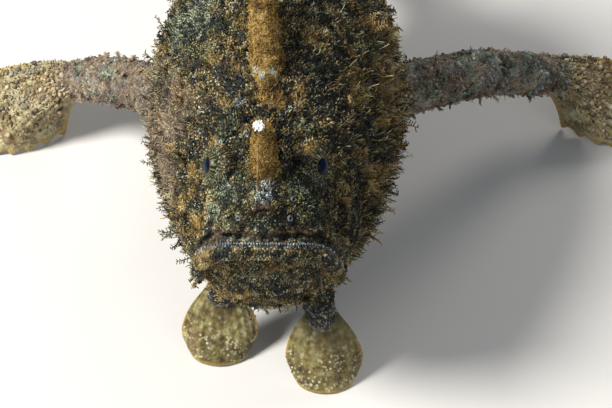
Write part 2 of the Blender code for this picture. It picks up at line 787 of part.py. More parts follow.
def build():
    for obj in list(bpy.data.objects):
        bpy.data.objects.remove(obj)
    nodes = body_nodes()
    head, torso, stalk = nodes["head"], nodes["torso"], nodes["tail_stalk"]
    for side, name in ((1, "left"), (-1, "right")):
        centre = eye_centre(side)
        radius = EYE_RADIUS * UNIT
        socket = ellipsoid("socket", centre, [radius + GAP] * 3, 16, 10)
        boolean(head, [socket], "DIFFERENCE")
        nodes["eye_" + name] = ellipsoid("eye_" + name, centre, [radius] * 3, 16, 10)
    nodes["head"] = head = largest(head)
    second = spine("second_dorsal_spine", SECOND_SPINE, SECOND_RADII, SECOND_KNOB, SECOND_WEB)
    third = spine("third_dorsal_spine", THIRD_SPINE, THIRD_RADII, THIRD_KNOB, THIRD_WEB)
    nodes["second_dorsal_spine"] = cut_from(thinned(second, SECOND_SPINE_TRIANGLES), [head])
    nodes["third_dorsal_spine"] = cut_from(thinned(third, THIRD_SPINE_TRIANGLES), [head, torso])
    rod = tube("lure_rod", [fish(*p) for p in LURE_ROD], [LURE_RADIUS * UNIT] * 4, 9, 1)
    nodes["lure_rod"] = cut_from(rod, [head])
    tip = Vector(LURE_ROD[-1]) + Vector(LURE_TIP_FROM_ROD)
    bait = ellipsoid("lure_tip", fish(*tip), [LURE_TIP_RADIUS * UNIT] * 3, 10, 6)
    nodes["lure_tip"] = cut_from(bait, [nodes["lure_rod"]])
    nodes["dorsal_fin"] = cut_from(dorsal_fin(), [torso])
    nodes["anal_fin"] = cut_from(anal_fin(), [torso])
    nodes["tail_fin"] = cut_from(tail_fin(), [stalk])
    for side, name in ((1, "left"), (-1, "right")):
        arm = cut_from(limb("pectoral_arm_" + name, ARM[side], ARM_RADII, floor_place), [torso])
        leg = cut_from(limb("pelvic_leg_" + name, LEG[side], LEG_RADII, floor_place), [head, torso])
        nodes["pectoral_arm_" + name] = arm
        nodes["pelvic_leg_" + name] = leg
        nodes["pectoral_fin_" + name] = cut_from(hand(side), [arm])
        nodes["pelvic_fin_" + name] = cut_from(foot(side), [leg])
    add_growths(nodes)
    finish(nodes)


def finish(nodes):
    """Centres the fish on its bounding box with its lowest flats at Z = 0, and gives materials."""
    corners = np.array([v.co for o in nodes.values() for v in o.data.vertices])
    low, high = corners.min(0), corners.max(0)
    shift = Matrix.Translation((-(low[0] + high[0]) / 2, -(low[1] + high[1]) / 2, -low[2]))
    group = bpy.data.collections.new("painted_frogfish")
    bpy.context.scene.collection.children.link(group)
    for name, obj in nodes.items():
        obj.name = name
        obj.data.transform(shift)
        for collection in list(obj.users_collection):
            collection.objects.unlink(obj)
        group.objects.link(obj)
        obj.data.materials.clear()
        obj.data.materials.append(material(name, *colour_of(name)))


def colour_of(name):
    if name.startswith("eye"):
        return (0.02, 0.03, 0.06), 0.15
    if name == "lure_tip":
        return (0.85, 0.84, 0.78), 0.6
    if "spine" in name:
        return (0.30, 0.17, 0.06), 0.8
    if "fin" in name:
        return (0.30, 0.25, 0.10), 0.6
    return (0.16, 0.12, 0.06), 0.8


build()
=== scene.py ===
"""Painted frogfish, life size: skin, coat, fins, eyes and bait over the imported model.

Metres, +Z up. The fish faces -Y and its left side is +X. Body places are (x, s, z) in hundredths
of the standard length: x to the fish's left, s back from the snout, z above the body axis.
Limb places are (x, y, h) in the same unit, h above the floor.
"""

import itertools
import math
from types import SimpleNamespace

import bpy
import numpy as np
from mathutils import Matrix, Vector


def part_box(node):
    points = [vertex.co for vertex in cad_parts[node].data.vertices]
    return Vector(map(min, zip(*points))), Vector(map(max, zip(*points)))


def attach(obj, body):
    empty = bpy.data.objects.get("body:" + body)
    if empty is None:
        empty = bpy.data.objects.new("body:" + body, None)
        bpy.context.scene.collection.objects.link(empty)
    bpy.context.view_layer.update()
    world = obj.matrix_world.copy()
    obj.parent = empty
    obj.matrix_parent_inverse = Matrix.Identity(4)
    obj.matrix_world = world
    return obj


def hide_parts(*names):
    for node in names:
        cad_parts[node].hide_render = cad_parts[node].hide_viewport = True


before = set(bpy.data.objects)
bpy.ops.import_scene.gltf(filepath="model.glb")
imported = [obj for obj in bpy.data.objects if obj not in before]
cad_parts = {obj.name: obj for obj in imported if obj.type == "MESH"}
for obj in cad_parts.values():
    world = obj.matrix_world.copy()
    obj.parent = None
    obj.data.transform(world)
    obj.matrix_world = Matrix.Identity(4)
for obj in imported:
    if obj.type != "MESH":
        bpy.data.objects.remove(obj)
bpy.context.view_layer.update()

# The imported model's own numbers
UNIT = 0.0012
HEAD_UP = math.radians(8)
AXIS_HEIGHT = 40.0
BEND, BEND_FROM = 0.0013, 30.0
STATIONS = np.array((
    (1.6, 5.0, 1.6, 2.6),
    (2.5, 8.0, -2.4, 6.0),
    (4.0, 11.2, -6.6, 8.7),
    (6.0, 13.5, -10.2, 10.4),
    (9.0, 15.7, -14.2, 12.0),
    (14.0, 18.6, -19.0, 14.2),
    (20.0, 21.7, -22.6, 17.0),
    (30.0, 26.4, -26.2, 20.6),
    (45.0, 30.0, -28.0, 22.6),
    (60.0, 28.0, -26.0, 20.4),
    (75.0, 20.6, -19.8, 14.2),
    (87.0, 11.8, -12.0, 7.6),
    (95.0, 7.6, -7.6, 4.6),
    (101.0, 7.4, -7.4, 3.6),
))
SECTION_POWER = 2.15
MOUTH_MIDDLE = (2.5, 7.2)
MOUTH_CORNER = (9.5, -4.4)
MOUTH_HALF_WIDTH = 11.5
MOUTH_LIFTS = (-0.6, 0.0, 0.6, 1.2)
EYE_RADIUS = 2.6
EYE_AT = (8.1, 12.85, 13.96)
EYE_LOOK = (0.86, -0.38, 0.34)
EYE_SUNK = 0.7
SECOND_SPINE = ((0.0, 10.4, 12.0), (0.0, 9.8, 16.5), (0.0, 9.0, 21.0), (0.0, 8.5, 24.6))
SECOND_RADII = (2.8, 2.5, 2.6, 1.9)
THIRD_SPINE = ((0.0, 23.5, 19.5), (-0.3, 27.5, 26.5), (-0.8, 32.0, 32.5), (-1.4, 38.5, 38.5))
THIRD_RADII = (3.6, 3.0, 2.5, 1.4)
ARM = {
    1: ((13.0, 50.5, 28.5), (24.3, 56.0, 27.8), (38.4, 64.0, 23.8), (51.0, 73.2, 14.1)),
    -1: ((-13.0, 50.0, 28.5), (-22.0, 54.5, 27.8), (-30.8, 61.8, 23.6), (-39.4, 70.5, 14.9)),
}
ARM_RADII = (6.0, 5.3, 4.9, 4.3)
HAND_TIPS = ((5.0, -1.0, 0.25), (12.5, -6.0, 0.25), (20.0, -6.0, 0.25), (25.0, 2.5, 1.5), (23.5, 10.0, 5.0))
LEG = {
    1: ((5.5, 22.0, 22.0), (7.2, 18.8, 16.5), (8.6, 15.4, 11.0)),
    -1: ((-5.5, 24.0, 22.0), (-7.8, 22.0, 16.5), (-9.4, 20.4, 11.5)),
}
LEG_RADII = (3.9, 3.7, 3.0)
FOOT_TIP = {1: 6.6, -1: 12.4}
SIDE_NAME = {1: "left", -1: "right"}
# Where the hands begin and the feet end, in body units, and the feet's top, in metres
HANDS_FROM = 33
FEET_BACK, FEET_HALF_WIDTH = 32, 20
FOOT_TOP = 0.0135

SEED = 11
# How far inside the solids the skin's forms start, in body units
CORE = 0.6
# In metres: the remesh's voxels, the height of the swells and of the grain, and the skin's least height
VOXEL = 0.00046
SWELL = 0.00030
GRAIN_HEIGHT = 0.00016
SKIN_CLEARANCE = 0.0008
# How far across from the mouth line its slit and the lip's edge are, and their depth and rise, in body units
SLIT, SLIT_DEPTH = 0.9, 0.95
LIP_EDGE, LIP_RISE = 1.38, 0.22
# Where the face ends, in body units, and how wide a clump of growths is, in metres
FACE_DEPTH = 16
CLUMP = 0.0013


def sideways(s):
    """The tail's gentle swing towards the fish's left."""
    return BEND * np.maximum(0.0, s - BEND_FROM) ** 2


def unshifted(x, s, z):
    x, s, z = np.broadcast_arrays(*(np.asarray(v, float) for v in (x, s, z)))
    y = s * math.cos(HEAD_UP) + z * math.sin(HEAD_UP)
    up = z * math.cos(HEAD_UP) - s * math.sin(HEAD_UP) + AXIS_HEIGHT
    return np.stack([x + sideways(s), y, up], -1) * UNIT


def unit(vectors):
    vectors = np.asarray(vectors, float)
    return vectors / np.maximum(np.linalg.norm(vectors, axis=-1, keepdims=True), 1e-12)


def eye_place(side, forward=-EYE_SUNK):
    look = unit(EYE_LOOK) * forward
    return side * (EYE_AT[0] + look[0]), EYE_AT[1] + look[1], EYE_AT[2] + look[2]


eye_low, eye_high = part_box("eye_left")
SHIFT = np.array((eye_low + eye_high) / 2) - unshifted(*eye_place(1))


def fish(x, s, z):
    """World place of a place on the body, for numbers or arrays."""
    return unshifted(x, s, z) + SHIFT


def floor_place(x, y, h):
    return np.array((x, y, h)) * UNIT + SHIFT


def body_place(points):
    """The (x, s, z) of world points."""
    p = (points - SHIFT) / UNIT
    y, up = p[:, 1], p[:, 2] - AXIS_HEIGHT
    s = y * math.cos(HEAD_UP) - up * math.sin(HEAD_UP)
    z = y * math.sin(HEAD_UP) + up * math.cos(HEAD_UP)
    return np.stack([p[:, 0] - sideways(s), s, z], 1)


def body_direction(x, s, z):
    return unit(unshifted(x, s, z) - unshifted(0, 0, 0))


def outline(s):
    """Top, bottom and half width of the body at each s, smooth through the stations."""
    s = np.atleast_1d(np.asarray(s, float))
    at, values = STATIONS[:, 0], STATIONS[:, 1:]
    slopes = np.gradient(values, at, axis=0)
    i = np.clip(np.searchsorted(at, s) - 1, 0, len(at) - 2)
    span = (at[i + 1] - at[i])[:, None]
    t = (s - at[i])[:, None] / span
    made = (2 * t**3 - 3 * t**2 + 1) * values[i] + (t**3 - 2 * t**2 + t) * slopes[i] * span
    return made + (3 * t**2 - 2 * t**3) * values[i + 1] + (t**3 - t**2) * slopes[i + 1] * span


def smooth_path(points, count):
    """Catmull-Rom points through the given ones."""
    p = np.array(points, float)
    p = np.vstack([2 * p[0] - p[1], p, 2 * p[-1] - p[-2]])
    at = np.linspace(0, len(p) - 3, count)
    i = np.minimum(at.astype(int), len(p) - 4)
    t = (at - i)[:, None]
    a, b, c, d = p[i], p[i + 1], p[i + 2], p[i + 3]
    curve = 2 * b + (c - a) * t + (2 * a - 5 * b + 4 * c - d) * t**2
    return 0.5 * (curve + (3 * b - a - 3 * c + d) * t**3)


CELL_PRIMES, MIX_PRIME = np.array((374761393, 668265263, 1442695041)), 1274126177


def hashed(cells, seed):
    """A random value from -1 to 1 for each cell of whole numbers."""
    h = (cells * CELL_PRIMES).sum(axis=1) + seed * MIX_PRIME
    h = (h ^ (h >> 13)) * MIX_PRIME
    h = (h ^ (h >> 16)) & 0xFFFF
    return h / 32767.5 - 1


def lattice(points, seed):
    """Random values from -1 to 1 on a unit lattice, blended smoothly between its corners."""
    cell = np.floor(points).astype(np.int64)
    t = points - cell
    t = t * t * (3 - 2 * t)
    total = np.zeros(len(points))
    for corner in itertools.product((0, 1), repeat=3):
        weight = np.prod(np.where(corner, t, 1 - t), axis=1)
        total += weight * hashed(cell + np.array(corner), seed)
    return total


def clumps(points, size, seed):
    """The way to the middle of each point's clump, in clump sizes, and the clump's chance, 0 to 1."""
    cell = np.floor(points / size).astype(np.int64)
    nearest = np.full(len(points), np.inf)
    way, chance = np.zeros((len(points), 3)), np.zeros(len(points))
    for corner in itertools.product((-1, 0, 1), repeat=3):
        k = cell + np.array(corner)
        spot = np.stack([hashed(k, seed + axis) for axis in range(3)], 1)
        off = k + 0.5 + 0.45 * spot - points / size
        distance = np.linalg.norm(off, axis=1)
        closer = distance < nearest
        nearest[closer] = distance[closer]
        way[closer] = off[closer]
        chance[closer] = (0.5 + 0.5 * hashed(k, seed + 3))[closer]
    return way, chance


def noise(points, size, seed, octaves=1):
    """Smooth noise from -1 to 1, with features about size metres wide."""
    total, weight, weights = 0.0, 1.0, 0.0
    for octave in range(octaves):
        total = total + weight * lattice(points / size, seed + octave)
        weights += weight
        size, weight = size / 2, weight * 0.55
    return total / weights


def smoothstep(low, high, value):
    t = np.clip((value - low) / (high - low), 0, 1)
    return t * t * (3 - 2 * t)


def bell(distance, width):
    return np.exp(-((distance / width) ** 2))


def full_turn(count):
    return np.linspace(0, 2 * math.pi, count, endpoint=False)


def near_line(points, line):
    """Distance from each point to a polyline."""
    best = np.full(len(points), np.inf)
    for a, b in zip(line[:-1], line[1:]):
        along = b - a
        t = np.clip((points - a) @ along / (along @ along), 0, 1)
        best = np.minimum(best, np.linalg.norm(points - a - t[:, None] * along, axis=1))
    return best


def near_limb(points, path, radii):
    """Distance from each point to a limb's surface, and the limb's direction there."""
    best = np.full(len(points), np.inf)
    toward = np.zeros((len(points), 3))
    for k in range(len(path) - 1):
        a, b = path[k], path[k + 1]
        along = b - a
        t = np.clip((points - a) @ along / (along @ along), 0, 1)
        radius = radii[k] + (radii[k + 1] - radii[k]) * t
        distance = np.linalg.norm(points - a - t[:, None] * along, axis=1) - radius
        closer = distance < best
        best[closer] = distance[closer]
        toward[closer] = unit(along)
    return best, toward


# Meshes


def link_mesh(name, mesh):
    obj = bpy.data.objects.new(name, mesh)
    bpy.context.scene.collection.objects.link(obj)
    return obj


def mesh_of(name, points, triangles):
    """A mesh of triangles from arrays, smooth shaded."""
    mesh = bpy.data.meshes.new(name)
    mesh.vertices.add(len(points))
    mesh.vertices.foreach_set("co", np.ascontiguousarray(points, np.float32).ravel())
    mesh.loops.add(triangles.size)
    mesh.loops.foreach_set("vertex_index", triangles.astype(np.int32).ravel())
    mesh.polygons.add(len(triangles))
    mesh.polygons.foreach_set("loop_start", np.arange(0, triangles.size, 3, dtype=np.int32))
    mesh.update(calc_edges=True)
    return mesh


def set_floats(mesh, name, values):
    mesh.attributes.new(name, "FLOAT", "POINT").data.foreach_set("value", values.astype(np.float32))


def set_vectors(mesh, name, values):
    layer = mesh.attributes.new(name, "FLOAT_VECTOR", "POINT")
    layer.data.foreach_set("vector", np.ascontiguousarray(values, np.float32).ravel())


def loft(rings):
    """Points and faces of a closed body through rings of equally many points."""
    rings = np.asarray(rings)
    rows, count = rings.shape[:2]
    faces = [tuple(reversed(range(count)))]
    for r in range(rows - 1):
        for k in range(count):
            a, b = r * count + k, r * count + (k + 1) % count
            faces.append((a, b, b + count, a + count))
    faces.append(tuple((rows - 1) * count + k for k in range(count)))
    return rings.reshape(-1, 3), faces


def tube(path, radii, count=24, sides=16, ends=3):
    """A closed tube with rounded ends through world points."""
    line = smooth_path(np.column_stack([path, radii]), count)
    centres, radius = line[:, :3], line[:, 3]
    tangents = unit(np.gradient(centres, axis=0))
    side = unit(np.cross(tangents[0], (0.31, 0.17, 0.93)))
    angles = full_turn(sides)
    steps = [j / (ends + 0.5) * math.pi / 2 for j in range(1, ends + 1)]
    rings = []

    def ring(k, lift=0.0, end=0):
        """The ring at a point of the path, or one of the smaller rings that round its end off."""
        up = np.cross(tangents[k], side)
        centre = centres[k] + end * tangents[k] * radius[k] * math.sin(lift)
        across = np.cos(angles)[:, None] * side + np.sin(angles)[:, None] * up
        rings.append(centre + radius[k] * math.cos(lift) * across)

    for k in range(count):
        side = unit(side - tangents[k] * (side @ tangents[k]))
        if k == 0:
            for lift in reversed(steps):
                ring(k, lift, -1)
        ring(k)
    for lift in steps:
        ring(count - 1, lift, 1)
    return loft(rings)


def ellipsoid(centre, radii, rows=18, sides=26):
    turn = full_turn(sides)
    flat = np.stack([np.cos(turn), np.sin(turn), np.zeros(sides)], 1)
    rings = []
    for lift in np.linspace(-math.pi / 2 + 0.12, math.pi / 2 - 0.12, rows):
        rings.append(centre + (flat * math.cos(lift) + (0, 0, math.sin(lift))) * radii)
    return loft(rings)


def lump(place, radii, inset=CORE):
    return ellipsoid(fish(*place), (np.array(radii) - inset) * UNIT)


def joined(forms):
    points, faces, start = [], [], 0
    for p, f in forms:
        points.append(p)
        faces.extend(tuple(start + v for v in face) for face in f)
        start += len(p)
    return np.vstack(points), faces


def mesh_object(name, forms):
    points, faces = joined(forms)
    mesh = bpy.data.meshes.new(name)
    mesh.from_pydata(points.tolist(), [], faces)
    mesh.shade_smooth()
    return link_mesh(name, mesh)


def apply_modifiers(obj):
    graph = bpy.context.evaluated_depsgraph_get()
    graph.update()
    mesh = bpy.data.meshes.new_from_object(obj.evaluated_get(graph), depsgraph=graph)
    obj.modifiers.clear()
    obj.data = mesh
    return obj


def arrays_of(mesh):
    """A mesh's points, normals and triangles."""
    points = np.empty(len(mesh.vertices) * 3, np.float32)
    normals = np.empty(len(mesh.vertices) * 3, np.float32)
    mesh.vertices.foreach_get("co", points)
    mesh.vertices.foreach_get("normal", normals)
    mesh.calc_loop_triangles()
    triangles = np.empty(len(mesh.loop_triangles) * 3, np.int32)
    mesh.loop_triangles.foreach_get("vertices", triangles)
    points, normals = (values.reshape(-1, 3).astype(float) for values in (points, normals))
    return points, normals, triangles.reshape(-1, 3)


def volume_of(mesh):
    points, _, triangles = arrays_of(mesh)
    a, b, c = (points[triangles[:, k]] for k in range(3))
    return float((a * np.cross(b, c)).sum() / 6)


def dressed(obj, slot, finish, *nodes):
    """Gives a piece its finish and its body, and hides the nodes that it stands for; slot is not used."""
    obj.data.materials.append(finish)
    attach(obj, "root")
    if nodes:
        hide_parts(*nodes)
    return obj


# Skin


def trunk():
    low, high = STATIONS[0, 0] + 0.3, STATIONS[-1, 0]
    s = low + (high - low) * np.linspace(0, 1, 110) ** 1.5
    top, bottom, half = (outline(s) + (-CORE, CORE, -CORE)).T
    a = full_turn(72)
    c, d = (np.sign(v) * np.abs(v) ** (2 / SECTION_POWER) for v in (np.cos(a), np.sin(a)))
    middle, rise = (top + bottom) / 2, (top - bottom) / 2
    rings = fish(half[:, None] * c, s[:, None], middle[:, None] + rise[:, None] * d)
    return loft(rings[:, ::-1])


def mouth_line(t, offset=0.0, lift=0.0):
    """World points of the mouth line, t from -1 to 1.

    offset is across the line, positive towards the snout, and lift is forward.
    """
    t = np.asarray(t, float)
    turn = np.sin(t * math.pi / 2)
    drop = 1 - np.sqrt(1 - np.abs(turn) ** 4)
    run, fall = MOUTH_CORNER[0] - MOUTH_MIDDLE[0], MOUTH_CORNER[1] - MOUTH_MIDDLE[1]
    across = unit((-fall, run)) * offset
    s = MOUTH_MIDDLE[0] + run * drop + across[0] - lift
    return fish(MOUTH_HALF_WIDTH * turn, s, MOUTH_MIDDLE[1] + fall * drop + across[1])


def near_mouth(points, offset):
    """Distance in body units from the mouth line moved across by offset, whatever its lift."""
    t = np.linspace(-1, 1, 50)
    distances = [near_line(points, mouth_line(t, offset, lift)) for lift in MOUTH_LIFTS]
    return np.min(distances, axis=0) / UNIT


def axes_round(look):
    """A direction with its across and up."""
    across = unit(np.cross(look, (0, 0, 1)))
    return look, across, np.cross(across, look)


def eye_axes(side):
    """The eye's look, across and up directions in the world."""
    return axes_round(body_direction(side * EYE_LOOK[0], EYE_LOOK[1], EYE_LOOK[2]))


def near_eyes(points):
    """Distance in body units from each point to the middle of the nearer eye."""
    distances = [np.linalg.norm(points - fish(*eye_place(side)), axis=1) for side in (1, -1)]
    return np.min(distances, axis=0) / UNIT


def eye_rim(side, radius, forward, thickness):
    look, across, up = eye_axes(side)
    centre = fish(*eye_place(side)) + look * forward * UNIT
    a = np.linspace(0, 2 * math.pi, 33)[:, None]
    path = centre + (across * np.cos(a) + up * np.sin(a)) * radius * UNIT
    return tube(path, np.full(33, thickness * UNIT), count=65, sides=12)


def limb_form(path, radii, place, inset):
    world = np.array([place(*p) for p in path])
    return tube(world, (np.array(radii) - inset) * UNIT, count=30, sides=24)


# The lips: across the mouth line, forward and radius
LIPS = ((1.60, -0.30, 0.85), (-0.50, 0.40, 0.95), (-1.90, 0.05, 1.20))
# Rings of skin round each eye: radius in eye radii, forward and thickness
EYE_RIMS = ((0.97, 1.05, 0.48), (1.28, 0.35, 0.75))
# Masses on both sides and in the middle: place, half sizes and how far inside the solids
EYE_LUMP = ((5.9, 13.5, 13.3), (3.6, 4.4, 3.9), 0.3)
SIDE_LUMPS = (
    ((MOUTH_HALF_WIDTH + 0.2, MOUTH_CORNER[0] + 0.8, MOUTH_CORNER[1] - 1.2), (1.5, 2.0, 2.5), 0.1),
    ((10.6, 17.0, 0.5), (5.2, 10.0, 9.0), CORE),
    ((16.5, 49.0, -5.0), (7.0, 9.0, 9.0), CORE),
)
SNOUT_LUMPS = (
    ((0, 6.2, 11.6), (3.6, 2.8, 2.5), 0.4),
    ((0, 7.8, -4.8), (9.2, 5.0, 6.4), CORE),
    ((0, 17.0, 17.4), (3.6, 5.0, 3.6), CORE),
)
# Each spine's path, radii and inset, its knob's half sizes, and its web's place and half sizes
SPINES = (
    (SECOND_SPINE, SECOND_RADII, 0.6, (1.7, 1.7, 1.5), (0, 12.75, 16.5), (1.0, 3.6, 4.2)),
    (THIRD_SPINE, THIRD_RADII, 0.5, (1.6, 1.9, 1.7), (-0.3, 32.25, 25.75), (1.3, 6.8, 6.4)),
)


def mirrored(place, side):
    return side * place[0], place[1], place[2]


def side_lump(side, place, radii, inset):
    return lump(mirrored(place, side), radii, inset)


def spine_forms(path, radii, inset, tip, web_place, web):
    """A spine, the knob at its tip and the web behind it."""
    return [limb_form(path, radii, fish, inset), lump(path[-1], tip, 0.3), lump(web_place, web, 0.25)]


def skin_forms():
    t = np.linspace(-1, 1, 15)
    forms = [trunk()]
    for offset, lift, thick in LIPS:
        forms.append(tube(mouth_line(t, offset, lift), np.full(15, thick * UNIT), count=60, sides=14))
    for side in (1, -1):
        forms.append(side_lump(side, *EYE_LUMP))
        forms += [eye_rim(side, EYE_RADIUS * radius, forward, thick) for radius, forward, thick in EYE_RIMS]
        forms += [side_lump(side, *mass) for mass in SIDE_LUMPS]
        forms.append(limb_form(ARM[side], ARM_RADII, floor_place, 0.5))
        forms.append(limb_form(LEG[side], LEG_RADII, floor_place, 0.4))
    forms += [lump(*mass) for mass in SNOUT_LUMPS]
    for spine in SPINES:
        forms += spine_forms(*spine)
    return forms


# The arch over the mouth and the one inside it, as body places of the fish's left half
HALF_ARCH = ((4.9, 3.1, 7.9), (4.3, 3.3, 8.8), (3.6, 3.5, 9.8), (2.6, 3.7, 11.1), (1.4, 3.9, 12.3))
HALF_INNER_ARCH = ((2.9, 3.2, 9.2), (2.0, 3.4, 10.3), (1.1, 3.7, 11.4))


def arch(half, top):
    """A whole arch, symmetrical, from the points of its half on the fish's left and its top."""
    return tuple((-x, s, z) for x, s, z in half) + (top,) + half[::-1]


ARCH = arch(HALF_ARCH, (0, 4.1, 12.9))
INNER_ARCH = arch(HALF_INNER_ARCH, (0, 3.8, 11.8))
# Folds of the face: height, width and the line, in body units
FOLDS = (
    (0.50, 0.36, ARCH),
    (-0.60, 0.30, [(0.86 * x, s - 0.1, z - 0.66) for x, s, z in ARCH]),
    (0.36, 0.30, INNER_ARCH),
    (-0.40, 0.28, [(0.80 * x, s - 0.1, z - 0.62) for x, s, z in INNER_ARCH]),
    (-0.44, 0.36, [(1.16 * x, s + 0.25, z + 0.68) for x, s, z in ARCH]),
)
# Folds mirrored on both sides
SIDE_FOLDS = (
    # the crease behind the upper jaw bone, and the swell in front of it
    (-0.75, 0.55, ((3.9, 5.3, 12.2), (5.9, 4.3, 9.6), (9.0, 4.6, 5.9), (11.6, 6.9, 1.0), (12.8, 8.6, -3.2),
                   (11.6, 8.6, -6.6))),
    (0.45, 0.70, ((6.6, 3.8, 7.4), (9.2, 4.6, 3.9), (11.2, 6.6, -0.4), (11.9, 8.3, -3.6))),
    (-0.40, 0.45, ((9.8, 5.6, -7.4), (7.0, 3.7, -4.0), (5.6, 2.8, -0.6), (4.6, 2.3, 2.4))),
    (-0.35, 0.45, ((12.6, 9.6, 4.2), (13.6, 12.0, 0.8), (14.0, 13.4, -3.6))),
    (0.30, 0.60, ((13.4, 10.6, 3.6), (14.6, 13.0, 0.6), (15.0, 14.4, -3.6))),
    (-0.30, 0.50, ((4.4, 9.5, 16.3), (6.2, 9.0, 14.4), (8.0, 8.6, 11.6))),
)
ARCH_LINE = fish(*np.array(ARCH).T)


def fold_height(points):
    """How far the skin rises or sinks in the folds of the face, in metres."""
    height = np.zeros(len(points))
    place = body_place(points)
    face = place[:, 1] < 22
    near = place[face]
    total = np.zeros(len(near))
    lines = list(FOLDS)
    for h, w, line in SIDE_FOLDS:
        for side in (1, -1):
            lines.append((h, w, [mirrored(place, side) for place in line]))
    for h, w, line in lines:
        distance = near_line(near, smooth_path(line, 24))
        total += h * bell(distance, w)
    height[face] = total * UNIT
    shallow = 1 - 0.65 * smoothstep(7.5, 11.5, np.abs(near[:, 0]))
    height[face] -= SLIT_DEPTH * shallow * UNIT * bell(near_mouth(points[face], SLIT), 0.36)
    height[face] += LIP_RISE * UNIT * bell(near_mouth(points[face], LIP_EDGE + 0.1), 0.40)
    return height


def limb_lines():
    """World paths and radii of the limbs and spines, by name."""
    lines = {}
    for side in (1, -1):
        lines["arm_" + SIDE_NAME[side]] = ([floor_place(*p) for p in ARM[side]], ARM_RADII)
        lines["leg_" + SIDE_NAME[side]] = ([floor_place(*p) for p in LEG[side]], LEG_RADII)
    lines["second"] = ([fish(*p) for p in SECOND_SPINE], SECOND_RADII)
    lines["third"] = ([fish(*p) for p in THIRD_SPINE], THIRD_RADII)
    return lines


LIMBS = limb_lines()
REGIONS = ("body",) + tuple(LIMBS)


def on_form(region, start):
    """Whether each index in REGIONS is that of a form whose name starts so."""
    return np.isin(region, [k for k, name in enumerate(REGIONS) if name.startswith(start)])


def on_spines(region):
    return region >= REGIONS.index("second")


def regions_of(points):
    """The index in REGIONS of the form that each point is on, and the limb's direction there."""
    region = np.zeros(len(points), int)
    toward = np.zeros((len(points), 3))
    place = body_place(points)
    top, bottom, half = outline(np.clip(place[:, 1], 1.6, 101)).T
    best = np.full(len(points), 1.1 * UNIT)
    for number, name in enumerate(REGIONS[1:], 1):
        path, radii = LIMBS[name]
        distance, along = near_limb(points, path, np.array(radii) * UNIT)
        if name == "second":
            inside = place[:, 2] < top + 0.5
        elif name == "third":
            inside = place[:, 2] < top + 0.2
        elif name.startswith("leg"):
            inside = place[:, 2] > bottom - 0.3
        else:
            inside = np.abs(place[:, 0]) < half + 0.8
        closer = (distance < best) & ~inside
        best[closer] = distance[closer]
        region[closer] = number
        toward[closer] = along[closer]
    web = (np.abs(place[:, 0]) < 2.6) & (place[:, 2] > top + 0.6) & (region == 0)
    region[web & (place[:, 1] > 8.8) & (place[:, 1] < 20)] = REGIONS.index("second")
    region[web & (place[:, 1] >= 20) & (place[:, 1] < 44)] = REGIONS.index("third")
    return region, toward


def make_skin():
    """One closed skin over the flesh, with the folds, lumps and grain of its surface."""
    obj = mesh_object("skin", skin_forms())
    remesh = obj.modifiers.new("Remesh", "REMESH")
    remesh.mode = "VOXEL"
    remesh.voxel_size = VOXEL
    smooth = obj.modifiers.new("Smooth", "SMOOTH")
    smooth.factor = 0.5
    smooth.iterations = 5
    apply_modifiers(obj)
    points, normals, _ = arrays_of(obj.data)
    place = body_place(points)
    calm = smoothstep(2.9, 5.0, near_eyes(points))
    face = 1 - smoothstep(12, 26, place[:, 1])
    height = fold_height(points)
    height += SWELL * (1 - 0.6 * face) * noise(points, 0.0075, SEED, 2)
    height += GRAIN_HEIGHT * calm * noise(points, 0.0028, SEED + 5, 2)
    height += GRAIN_HEIGHT * calm * np.maximum(noise(points, 0.0011, SEED + 9), -0.2)
    points = points + normals * height[:, None]
    points[:, 2] = np.maximum(points[:, 2], SKIN_CLEARANCE)
    obj.data.vertices.foreach_set("co", points.astype(np.float32).ravel())
    obj.data.update()
    obj.data.shade_smooth()
    return obj


